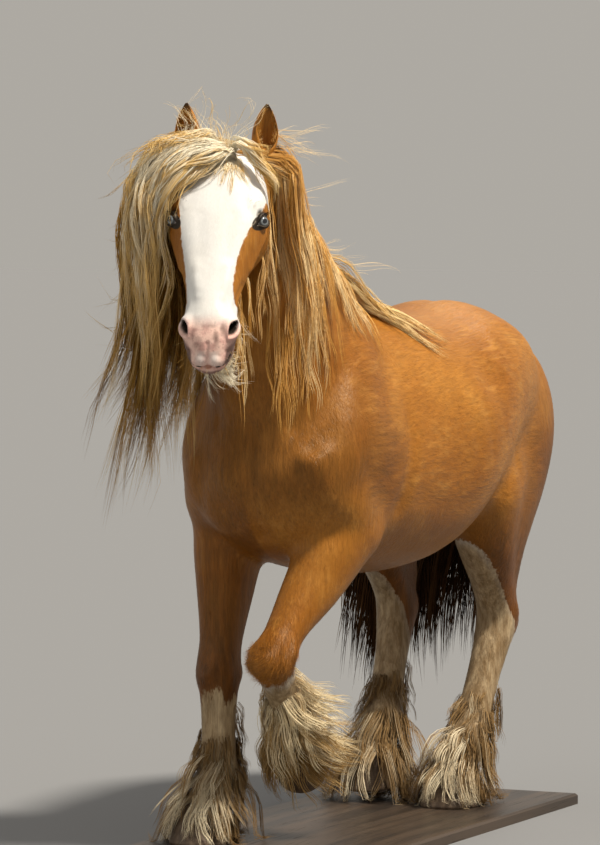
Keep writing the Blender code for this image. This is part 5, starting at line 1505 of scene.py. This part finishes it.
class Wire:
    """A value running through a material. Sums with it add the Math nodes that they need."""

    def __init__(self, look, socket):
        self.look, self.socket = look, socket

    def math(self, operation, *values):
        return self.look.node("ShaderNodeMath", {"operation": operation}, dict(enumerate(values)))

    def __add__(self, other):
        return self.math("ADD", self, other)

    def __sub__(self, other):
        return self.math("SUBTRACT", self, other)

    def __rsub__(self, other):
        return self.math("SUBTRACT", other, self)

    def __mul__(self, other):
        return self.math("MULTIPLY", self, other)

    def __truediv__(self, other):
        return self.math("DIVIDE", self, other)

    def __pow__(self, other):
        return self.math("POWER", self, other)

    __radd__ = __add__
    __rmul__ = __mul__


class Look:
    """One material and its nodes. Plain numbers go straight onto the shader."""

    def __init__(self, name, **constants):
        self.made = bpy.data.materials.new(name)
        self.made.use_nodes = True
        self.tree = self.made.node_tree
        self.shader = self.tree.nodes["Principled BSDF"]
        for socket, value in constants.items():
            self.shader.inputs[socket.replace("_", " ")].default_value = value

    def plug(self, value, socket):
        if isinstance(value, Wire):
            self.tree.links.new(value.socket, socket)
        else:
            socket.default_value = value

    def node(self, kind, settings, sockets, out=0):
        """A node of any kind, with its settings first and then the values or links of its sockets."""
        made = self.tree.nodes.new(kind)
        for key, value in settings.items():
            setattr(made, key, value)
        for key, value in sockets.items():
            self.plug(value, made.inputs[key])
        return Wire(self, made.outputs[out])

    def feed(self, socket, value):
        self.plug(value, self.shader.inputs[socket])

    def field(self, name):
        return self.node("ShaderNodeAttribute", {"attribute_name": name}, {}, "Fac")

    def place(self):
        return self.node("ShaderNodeTexCoord", {}, {}, "Object")

    def stretched(self, sizes, turn=(0, 0, 0)):
        return self.node("ShaderNodeMapping", {}, {"Vector": self.place(), "Scale": sizes, "Rotation": turn})

    def noise(self, vector, scale, detail=3.0, roughness=0.5):
        return self.node("ShaderNodeTexNoise", {},
                         {"Vector": vector, "Scale": scale, "Detail": detail, "Roughness": roughness})

    def ramp(self, value, low, high, start=0.0, stop=1.0):
        return self.node("ShaderNodeMapRange", {"interpolation_type": "SMOOTHSTEP"},
                         {"Value": value, "From Min": low, "From Max": high, "To Min": start, "To Max": stop})

    def mix(self, share, first, second, blend="MIX"):
        """A colour between two, or their product."""
        first, second = ((*c, 1) if isinstance(c, tuple) else c for c in (first, second))
        return self.node("ShaderNodeMix", {"data_type": "RGBA", "blend_type": blend},
                         {0: share, 6: first, 7: second}, 2)

    def either(self, share, first, second):
        """A value between two."""
        return self.node("ShaderNodeMix", {"data_type": "FLOAT"}, {0: share, 2: first, 3: second})

    def shade(self, colour, amount):
        """A colour made lighter or darker by a value."""
        grey = self.node("ShaderNodeCombineColor", {}, {0: amount, 1: amount, 2: amount})
        return self.mix(1.0, colour, grey, "MULTIPLY")

    def bump(self, height, strength, distance):
        self.feed("Normal", self.node("ShaderNodeBump", {},
                                      {"Strength": strength, "Distance": distance, "Height": height}))


def coat_look(name, bumpy):
    """Short golden chestnut coat with its white markings, pink muzzle and black rims."""
    look = Look(name, Roughness=0.4, Specular_IOR_Level=0.4, Specular_Tint=SHEEN)
    place = look.place()
    broad = look.noise(place, 2.6, 2.0)
    mottle = look.noise(place, 13.0, 3.0)
    tilt = (math.radians(24), 0, 0)
    fine_lie = look.noise(look.stretched((190, 20, 110), tilt), 1.0, 4.0, 0.65)
    fine_hang = look.noise(look.stretched((190, 190, 20)), 1.0, 4.0, 0.65)
    wide_lie = look.noise(look.stretched((60, 7, 42), tilt), 1.0, 3.0, 0.6)
    wide_hang = look.noise(look.stretched((60, 60, 8)), 1.0, 3.0, 0.6)
    legs_and_painted_shade, hang = look.field("legs_and_painted_shade"), look.field("hang")
    streak = look.either(hang, fine_lie, fine_hang)
    band = look.either(hang, wide_lie, wide_hang)
    tone = look.mix(look.ramp(broad + (band - 0.5) * 0.4, 0.3, 0.72), CHESTNUT, CHESTNUT_DEEP)
    tone = look.mix(look.ramp(mottle * 0.4 + band * 0.6, 0.46, 0.7) * 0.35, tone, CHESTNUT_LIGHT)
    # The dark leg mask lays this brown on the lower limbs and, as painted shade, on the chest, thigh and
    # gaskin
    tone = look.mix(legs_and_painted_shade * 0.88, tone, look.shade(LEG_BROWN_AND_SHADE, band * 2.4 - 0.2))
    edge = look.noise(place, 85.0, 2.0)
    shift = (edge - 0.5) * 0.35 + (streak - 0.5) * (0.3 + legs_and_painted_shade * 0.6) + (band - 0.5) * legs_and_painted_shade * 0.7
    white = look.ramp(look.field("white") + shift, 0.4, 0.6)
    cream = look.mix(look.ramp(mottle, 0.4, 0.75) * 0.15, WHITE_HAIR, CREAM)
    dirt = look.noise(look.stretched((60, 60, 14)), 1.0, 4.0, 0.65) * 0.6 + broad * 0.4
    soiled = look.mix(look.ramp(dirt, 0.3, 0.68), LEG_CREAM, SOILED)
    tone = look.mix(white, tone, look.mix(legs_and_painted_shade, cream, soiled))
    freckles = look.ramp(look.noise(place, 150.0, 2.0), 0.6, 0.72)
    pink = look.field("pink")
    blush = look.mix(look.ramp(look.noise(place, 34.0, 3.0, 0.6), 0.4, 0.62), PINK_SKIN, PINK_DEEP)
    skin = look.mix(freckles * 0.35, blush, GREY_SKIN)
    tone = look.mix(pink * 0.9, tone, skin)
    calm = (1 - pink * 0.85) * (1 - white * (1 - legs_and_painted_shade) * 0.8)
    tone = look.shade(tone, (streak - 0.5) * 0.95 * calm + (band - 0.5) * 0.35 * calm + 1.0)
    tone = look.mix(look.ramp(look.field("grey") + (edge - 0.5) * 0.5, 0.08, 0.92) * 0.92, tone, GREY_SKIN)
    tone = look.mix(look.ramp(look.field("black") + (edge - 0.5) * 0.2, 0.3, 0.8), tone, BLACK_SKIN)
    if not bumpy:
        tone = look.shade(tone, look.field("tone") * 0.55 + 0.7)
    look.feed("Base Color", tone)
    look.feed("Roughness", 0.33 + streak * 0.2 + pink * 0.08)
    if bumpy:
        fine = look.noise(place, 260.0, 2.0)
        look.bump((streak + band * 0.8) * calm + fine * pink * 0.3, 0.75, 0.0026)
    return look.made


def hair_look(name, tip=0.12, lift=0.0):
    """Long hair: each strand has its own tone, with painted shade at its root, and paler or darker at its
    tip, which is painted light from above on the mane and forelock.
    """
    dark, middle, light = LONG_HAIR[name]
    look = Look(name, Roughness=0.55, Specular_IOR_Level=0.08, Specular_Tint=SHEEN)
    tone, along = look.field("tone"), look.field("along")
    drift = look.noise(look.place(), 9.0, 2.0)
    value = tone + (drift - 0.5) * 0.45 + along * tip + lift
    colour = look.mix(look.ramp(value, 0.02, 0.5), dark, middle)
    colour = look.mix(look.ramp(value, 0.5, 1.02), colour, light)
    # Strands darken towards their roots: painted shade where the hair crowds at the skin
    look.feed("Base Color", look.shade(colour, look.ramp(along, 0.0, 0.22, 0.88, 1.0)))
    look.feed("Roughness", 0.52 + tone * 0.16)
    return look.made


def eye_look():
    """Pale blue-grey iris with a flat dark pupil, under a wet clear front."""
    look = Look("eye", Roughness=0.12, Coat_Weight=1.0, Coat_Roughness=0.02, Specular_IOR_Level=0.5)
    gaze = look.node("ShaderNodeUVMap", {"uv_map": "gaze"}, {})
    p, q = (look.node("ShaderNodeSeparateXYZ", {}, {0: gaze}, k) - 0.5 for k in (0, 1))
    reach = (p * p + q * q * 1.15) ** 0.5 * 2.0
    turn = look.node("ShaderNodeMath", {"operation": "ARCTAN2"}, {0: q, 1: p})
    spokes = look.node("ShaderNodeCombineXYZ", {}, {0: turn * 9.0, 1: reach * 2.0, 2: 0.0})
    spokes = look.noise(spokes, 1.0, 3.0, 0.6)
    iris = look.mix(look.ramp(spokes, 0.3, 0.7), IRIS, IRIS_LIGHT)
    iris = look.mix(look.ramp(reach, 0.46, 0.6), iris, IRIS_EDGE)
    white = look.mix(look.ramp(spokes, 0.4, 0.8) * 0.5, EYE_WHITE, IRIS_EDGE)
    colour = look.mix(look.ramp(reach, 0.7, 0.78), iris, white)
    pupil = (p * 2 / 0.36) ** 2.0 + (q * 2 / 0.27) ** 2.0
    colour = look.mix(look.ramp(pupil, 0.85, 1.25), PUPIL, colour)
    look.feed("Base Color", colour)
    return look.made


def horn_look():
    """Hoof horn with growth rings and faint upright grain."""
    look = Look("horn", Roughness=0.42, Specular_IOR_Level=0.4)
    rings = look.node("ShaderNodeCombineXYZ", {}, {0: look.field("down") * 26.0, 1: 0.0, 2: 0.0})
    rings = look.noise(rings, 1.0, 2.0)
    grain = look.noise(look.stretched((90, 90, 5)), 1.0, 3.0, 0.6)
    tone = look.mix(look.ramp(grain, 0.3, 0.75) * 0.7, HORN_DARK, HORN_LIGHT)
    tone = look.mix(look.ramp(rings, 0.45, 0.7) * 0.5, tone, HORN_DARK)
    tone = look.mix(look.ramp(look.field("sole"), 0.4, 0.6), tone, SOLE_GREY)
    look.feed("Base Color", tone)
    look.feed("Roughness", 0.4 + grain * 0.25)
    look.bump(rings + grain * 0.3, 0.4, 0.001)
    return look.made


def base_look():
    """Dark stained oak with open grain."""
    look = Look("oak", Specular_IOR_Level=0.45)
    warp = look.noise(look.stretched((3, 0.8, 3)), 1.0, 2.0)
    grain = look.noise(look.stretched((26, 1.3, 26)), 1.0, 5.0, 0.6)
    pores = look.ramp(look.noise(look.stretched((320, 9, 320)), 1.0, 2.0), 0.6, 0.74)
    tone = look.mix(look.ramp(grain + warp * 0.3, 0.45, 0.8), OAK_DARK, OAK_LIGHT)
    tone = look.mix(pores * 0.6, tone, OAK_PORE)
    look.feed("Base Color", tone)
    look.feed("Roughness", 0.36 + pores * 0.3 + grain * 0.1)
    look.bump(grain * 0.4 - pores, 0.25, 0.0008)
    return look.made


def sole_axes(name):
    """The way out of a sole and the way to its toe."""
    turn = Matrix.Rotation(math.radians(SOLE_TURN[name]), 3, "X")
    return turn @ -UP, turn @ -BACK


def is_raised(name):
    return SOLE_TURN[name] > 30


def hoof(name):
    """A horn wall with growth rings, from the coronet down to a hollow sole with its frog."""
    fetlock, coronet = (Vector(j) for j in LEGS[name][1][3:])
    ground, toe = sole_axes(name)
    band = unit(unit(coronet - fetlock) + ground)
    top_toe = unit(toe - band * toe.dot(band))
    top = coronet + band * 0.0006
    sole = coronet + ground * HOOF_HEIGHT + toe * 0.03
    rings, down, under = [], [], []

    def outline(centre, way, half_width, ahead, behind, notch):
        points = []
        for i in range(HOOF_SIDES):
            angle = 2 * math.pi * i / HOOF_SIDES
            c, s = math.cos(angle), math.sin(angle)
            reach = ahead if s > 0 else behind * (1 - notch * math.exp(-(c / 0.3) ** 2))
            points.append(centre + SIDE * half_width * math.copysign(abs(c) ** 0.9, c) + way * reach * s)
        return points

    for k in range(HOOF_RINGS):
        t = k / (HOOF_RINGS - 1)
        swelling = 1 + 0.06 * float(smooth_step(0, 0.12, t)) - 0.004 * (k % 2)
        if t == 1:
            swelling = 1.03
        rings.append(outline(top.lerp(sole, t), top_toe.lerp(toe, t), (0.0625 + 0.015 * t) * swelling,
                             (0.0595 + 0.025 * t) * swelling, 0.0615 + 0.006 * t, 0.12))
        down.append(t)
        under.append(0)
    for inset, lift, notch in SOLE:
        rings.append(outline(sole - ground * lift - toe * 0.004, toe, 0.0775 * inset, 0.0845 * inset,
                             0.0675 * inset, notch))
        down.append(1)
        under.append(1)
    made = tube("hoof", rings)
    clay = Clay(made)
    gap = clay.co - np.array(sole)
    a, f, deep = gap[:, 0], gap @ np.array(toe), gap @ np.array(ground)
    frog = (1 - smooth_step(0.55, 1.0, np.abs(a) / (0.024 - 0.45 * np.clip(f + 0.03, -0.02, 0.05) + 1e-6)))
    frog = frog * (f > -0.062) * (f < 0.02) * (deep > -0.012)
    cleft = np.exp(-(a / 0.004) ** 2) * (f < -0.02)
    clay.co += np.outer(frog * (0.006 - 0.005 * cleft), np.array(ground))
    clay.keep()
    for key, values in (("down", down), ("sole", under)):
        keep_field(made, key, np.repeat(values, HOOF_SIDES))
    name_mesh(made, name + "_horn")
    made.data.shade_smooth()
    return made


def eyeball(sign):
    """A ball with a slightly raised clear front, and a map across its gaze for the iris."""
    centre, _, along, _ = eye_frame(sign)
    gaze = LEFT * sign * 0.66 + DORSAL * 0.7 + DOWN * 0.26
    centre, out, along, across = frame_at(centre, gaze, Vector(along))
    bpy.ops.mesh.primitive_uv_sphere_add(segments=56, ring_count=36, radius=1)
    made = bpy.context.object
    name_mesh(made, "eyeball_left" if sign > 0 else "eyeball_right")
    clay = Clay(made)
    side, up, pole = clay.co.T.copy()
    if np.dot(np.cross(along, across), out) < 0:
        side = -side
    radius = EYE_RADIUS * (0.985 + 0.03 * smooth_step(0.72, 0.92, pole))
    clay.co = centre + radius[:, None] * (np.outer(pole, out) + np.outer(side, along) + np.outer(up, across))
    clay.keep()
    layer = made.data.uv_layers.new(name="gaze")
    loops = np.empty(len(made.data.loops), int)
    made.data.loops.foreach_get("vertex_index", loops)
    sheet = np.stack((0.5 + side / 2, 0.5 + up / 2), 1)
    layer.data.foreach_set("uv", sheet[loops].astype(np.float32).ravel())
    made.data.shade_smooth()
    return made


def dock_side(z):
    """The tail's middle moves to the right as it falls."""
    return -0.03 * (1.28 - z)


def dock():
    """The tail's root, hidden in the hair that grows from it."""
    rows = []
    for y, z, half in DOCK:
        back = unit((0, 0.35, 1)) if z > 1.26 else unit((0, 1, 0.35 * (z > 1.2)))
        middle = Vector((dock_side(z), y, z))
        rows.append((*(middle + back * half), *(middle - back * half), *SIDE, half, 0.5, 2.0, 2.0))
    return loft("dock", rows, 4, 24)


def on_trunk(points):
    return (points[:, 2] > LEG_TOP) & (points[:, 1] > 0.02 + 0.5 * np.clip(points[:, 2] - 1.25, 0, 1))


def on_face(points):
    _, down, _ = head_places(points)
    return (before_neck(points) > 0) & (points[:, 2] > 1.15) & (down < 0.55)


def on_neck(points):
    return (points[:, 2] > LEG_TOP) & ~on_trunk(points) & ~on_face(points)


def on_legs(points):
    return points[:, 2] <= LEG_TOP


def on_knee(points):
    """Round the raised knee, whose hair is long and turned in a whorl."""
    knee = np.array(LEGS["foreleg_left"][1][2])
    gap = np.linalg.norm(points - knee - np.array((0.01, -0.03, 0.01)), axis=1)
    return 1 - smooth_step(0.07, 0.125, gap)


def ear_axes(sign):
    """Where an ear starts, the way it rises and the way it opens."""
    across, down, dorsal = EAR_PLACE
    rise = unit(-DOWN * 0.8 + DORSAL * 0.42 + LEFT * sign * 0.2)
    mouth = unit(DORSAL * 0.8 + LEFT * sign * 0.45 + DOWN * 0.3)
    return on_head(sign * across, down, dorsal), rise, unit(mouth - rise * mouth.dot(rise))


def up_ear_line(sign, t):
    """The middle of an ear at a share of its length. The ear bends outward as it rises."""
    root, rise, _ = ear_axes(sign)
    bend = EAR_BEND * t * t
    return root + rise * (EAR_LENGTH * t) - LEFT * sign * bend + DORSAL * (bend * 0.3)


def ear(sign):
    """A pointed cup that opens forward and a little outward, with thin soft edges."""
    _, rise, mouth = ear_axes(sign)
    wide = rise.cross(mouth)
    rings = []
    for t, width, depth, half_open in between(EAR, 4):
        centre = up_ear_line(sign, t)
        start = math.radians(half_open)
        outer, inner = [], []
        for k in range(EAR_SIDES + 1):
            angle = start + (2 * math.pi - 2 * start) * k / EAR_SIDES
            edge = min(k, EAR_SIDES - k) / EAR_SIDES
            wall = min(EAR_WALL * (0.35 + 0.65 * min(1, edge * 5)), 0.6 * width)
            outer.append((width * math.sin(angle), depth * math.cos(angle)))
            inner.append(((width - wall) * math.sin(angle), (depth - wall) * math.cos(angle)))
        rings.append([centre + wide * x + mouth * y for x, y in outer + inner[::-1]])
    return tube("ear", rings)


def ear_stub(sign):
    """A ball at an ear's root that ties it to the head."""
    root, rise, _ = ear_axes(sign)
    return ellipsoid(root - rise * 0.035, root + rise * 0.012, 0.024, 0.024)


def nostril_frame(sign):
    """A nostril's place, the way out of it, along it and across it."""
    return frame_at(on_head(sign * 0.053, 0.507, -0.01),
                    LEFT * sign * 0.66 + DORSAL * 0.46 + DOWN * 0.58, DOWN * 0.74 - LEFT * sign * 0.62)


def nostril_opening(points, sign):
    """How far points lie from the middle of a nostril, 1 at its edge, and whether they are near it."""
    centre, out, along, across = nostril_frame(sign)
    gap = points - centre
    p, q, r = gap @ along, gap @ across, gap @ out
    opening = np.abs(q + 7 * p * p - 0.002) / 0.0135 + (p / 0.0255) ** 2
    return opening, (p * p + q * q < 0.05 ** 2) & (r > -0.035), out


def face_hair(surface):
    """Hair in the ears, lashes over the eyes, and long feelers at the muzzle and eyes."""
    rng = random.Random(SEED + 8)
    inside, dark = Coat(SEED + 8, FACE_POINTS), Coat(SEED + 9, FACE_POINTS)
    for sign in (1, -1):
        _, rise, mouth = ear_axes(sign)
        wide = rise.cross(mouth)
        for i in range(EAR_TUFTS):
            t = 0.06 + 0.74 * rng.random()
            side = rng.choice((-1, 1))
            half, deep, opens = (float(read(HAIRY_EAR, t, k)) for k in (1, 2, 3))
            angle = math.radians(opens + 10 + 46 * rng.random())
            start = (up_ear_line(sign, t) + wide * side * (half - 0.005) * math.sin(angle)
                     + mouth * (deep - 0.005) * math.cos(angle))
            way = unit(-wide * side * 0.5 + mouth * 0.3 + rise * 0.9)
            long = rng.uniform(0.012, 0.026)
            points = [start + way * long * k / 3 + rise * 0.004 * (k / 3) ** 2 for k in range(4)]
            inside.lock(surface, points, mouth, 0.012, 0.005, EAR_TUFT_STRANDS, EAR_HAIR,
                        rng.uniform(0.1, 0.7), 0.004, 0.2, 0.5)
        centre, out, along, across = (Vector(v) for v in eye_frame(sign))
        for i in range(LASHES):
            angle = math.radians(28 + 124 * i / (LASHES - 1))
            p, q = 0.0184 * math.cos(angle), 0.0005 + 0.0128 * math.sin(angle)
            ahead = math.sqrt(max(0.0, EYE_RADIUS ** 2 - p * p - q * q))
            start = centre + (along * p + across * q + out * ahead) * (1 + 0.0046 / EYE_RADIUS)
            way = unit(out * 0.75 + across * 0.45 + along * (p / 0.018) * 0.45)
            long = rng.uniform(0.01, 0.017)
            points = [start + way * long * k / 3 - across * 0.002 * math.sin(math.pi * k / 3)
                      for k in range(4)]
            dark.lock(surface, points, across, 0.0014, 0.001, LASH_STRANDS, LASH_HAIR, 0.05, 0.0006, 0.2, 0.7)
        for i in range(BROW_FEELERS):
            start = on_head(sign * rng.uniform(0.075, 0.1), 0.165 + 0.02 * rng.random(), 0.04)
            feeler(dark, surface, start, DORSAL + LEFT * sign * 0.6, rng.uniform(0.025, 0.045), rng)
        for i in range(MUZZLE_FEELERS):
            start = on_head(sign * rng.uniform(0.01, 0.06), rng.uniform(0.5, 0.59), rng.uniform(-0.11, -0.04))
            feeler(inside, surface, start, LEFT * sign * 0.6 + DOWN * 0.7 - UP * 0.3, rng.uniform(0.02, 0.05),
                   rng)
    spread = round_head()
    return inside.piece("ear_hair", spread), dark.piece("lashes", spread)


def feeler(coat, surface, start, way, long, rng):
    """One long stiff hair of the face."""
    place, normal, _ = surface.nearest(start)
    way = unit(unit(way) * 0.5 + normal + Vector((rng.uniform(-0.2, 0.2), rng.uniform(-0.2, 0.2), 0)))
    points = [place - normal * 0.001 + way * long * k / 3 - UP * 0.012 * (k / 3) ** 2 for k in range(4)]
    coat.lock(surface, points, normal, 0.0008, 0.0008, 1, FEELER_HAIR, rng.uniform(0.3, 0.9), 0.0, 0.2, 0.99)


def base_wood():
    """The wooden base keeps its solid and gets its wood."""
    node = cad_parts["stand_base"]
    node.data.materials.clear()
    node.data.materials.append(base_look())


def stage():
    """A plain pale floor, lit so that it meets the even sky, soft suns and the camera at the left front."""
    yaw, pitch = CAMERA_YAW, CAMERA_PITCH
    ahead = Vector((math.sin(yaw) * math.cos(pitch), math.cos(yaw) * math.cos(pitch), -math.sin(pitch)))
    right = Vector((math.cos(yaw), -math.sin(yaw), 0))
    shine = np.zeros(3)
    for name, way, spread, colour, power in (
            ("key", right * 0.64 - ahead * 0.36 + UP * 1.16, 9, (1.0, 0.93, 0.82), 5.2),
            ("fill", -right * 0.8 - ahead * 0.6 + UP * 0.5, 40, (0.95, 0.97, 1.0), 0.25),
            ("back", ahead * 0.7 + right * 0.2 + UP * 1.0, 24, (1.0, 0.96, 0.9), 0.8)):
        light = bpy.data.lights.new(name, "SUN")
        light.energy = power
        light.angle = math.radians(spread)
        light.color = colour
        lamp = placed(name, light)
        lamp.rotation_euler = (-way).to_track_quat("-Z", "Y").to_euler()
        lamp.location = unit(way) * 6
        shine += np.array(colour) * power * unit(way).z / math.pi
    world = bpy.data.worlds.new("studio")
    world.use_nodes = True
    world.node_tree.nodes["Background"].inputs[0].default_value = (*SKY, 1)
    world.node_tree.nodes["Background"].inputs[1].default_value = 1.0
    bpy.context.scene.world = world
    bpy.ops.mesh.primitive_plane_add(size=FLOOR_SIZE, location=(0, 0, 0))
    floor = bpy.context.object
    floor.name = "floor"
    colour = (*(np.array(SKY) / (np.array(SKY) + shine)), 1)
    floor.data.materials.append(Look("floor", Roughness=1.0, Specular_IOR_Level=0.0, Base_Color=colour).made)
    camera = bpy.data.cameras.new("camera")
    camera.sensor_width = CAMERA_SENSOR
    camera.lens = CAMERA_LENS
    holder = placed("camera", camera)
    holder.location = CAMERA_PLACE
    holder.rotation_euler = ahead.to_track_quat("-Z", "Y").to_euler()
    bpy.context.scene.camera = holder
    bpy.context.scene.view_settings.view_transform = "Standard"


def dress():
    """Makes every piece, gives it its look and ties it to the frame."""
    body = skin()
    body.data.shade_smooth()
    masks = markings(Clay(body).co)
    for key in MASKS:
        keep_field(body, key, masks[key])
    surface = Surface([body])
    root_of_tail = dock()
    hooves = {name: hoof(name) for name in LEGS}
    feet = Surface([body, *hooves.values()])
    coat, fur = coat_look("hide", True), coat_look("short_hair", False)
    # The mane a little and the forelock much more are paler at the root and darker to the tip: painted light
    # from above
    flax = hair_look("mane_hair", tip=-0.1)
    pale = hair_look("brow_hair", tip=-0.75, lift=0.3)
    wispy, gold, white, lifted, brown = (hair_look(name) for name in (
        "beard_hair", "neck_hair", "feather_hair", "lifted_hair", "tail_hair"))
    for made in mane(surface):
        set_down(made, flax, "neck")
    set_down(mane_left(surface), gold, "neck")
    set_down(forelock(surface), pale, "head")
    set_down(beard(surface), wispy, "head")
    for made, look in zip(face_hair(surface), (gold, brown)):
        set_down(made, look, "head")
    for name in LEGS:
        set_down(feather(feet, name), lifted if is_raised(name) else white, name + "_lower")
    for made in tail(surface, root_of_tail):
        set_down(made, brown, "tail", "tail")
    across_legs = round_line((0, 0.6, 0.9), (0, 0.6, 0.0))
    spreads = (round_line((0, 0, 1.0), (0, 1.5, 1.0)), round_line((0, 0.3, 1.1), (0, -0.2, 1.7)), across_legs,
               across_legs, round_head())
    for row, keep, spread in zip(SHORT_COAT, (on_trunk, on_neck, on_legs, on_knee, on_face), spreads):
        name, count, length, width, slot = row
        set_down(short_coat(surface, name, count, length, width, keep, spread), fur, slot)
    eye = eye_look()
    for sign, side in ((1, "left"), (-1, "right")):
        set_down(eyeball(sign), eye, "eye_" + side, "eye_" + side)
    horn = horn_look()
    for name, made in hooves.items():
        set_down(made, horn, name + "_hoof", name + "_hoof")
    set_down(root_of_tail, brown, "tail")
    lower_legs = [name + "_lower" for name in LEGS]
    set_down(body, coat, "torso", "torso", "neck", "head", "ear_left", "ear_right", *LEGS, *lower_legs)
    base_wood()


dress()
stage()
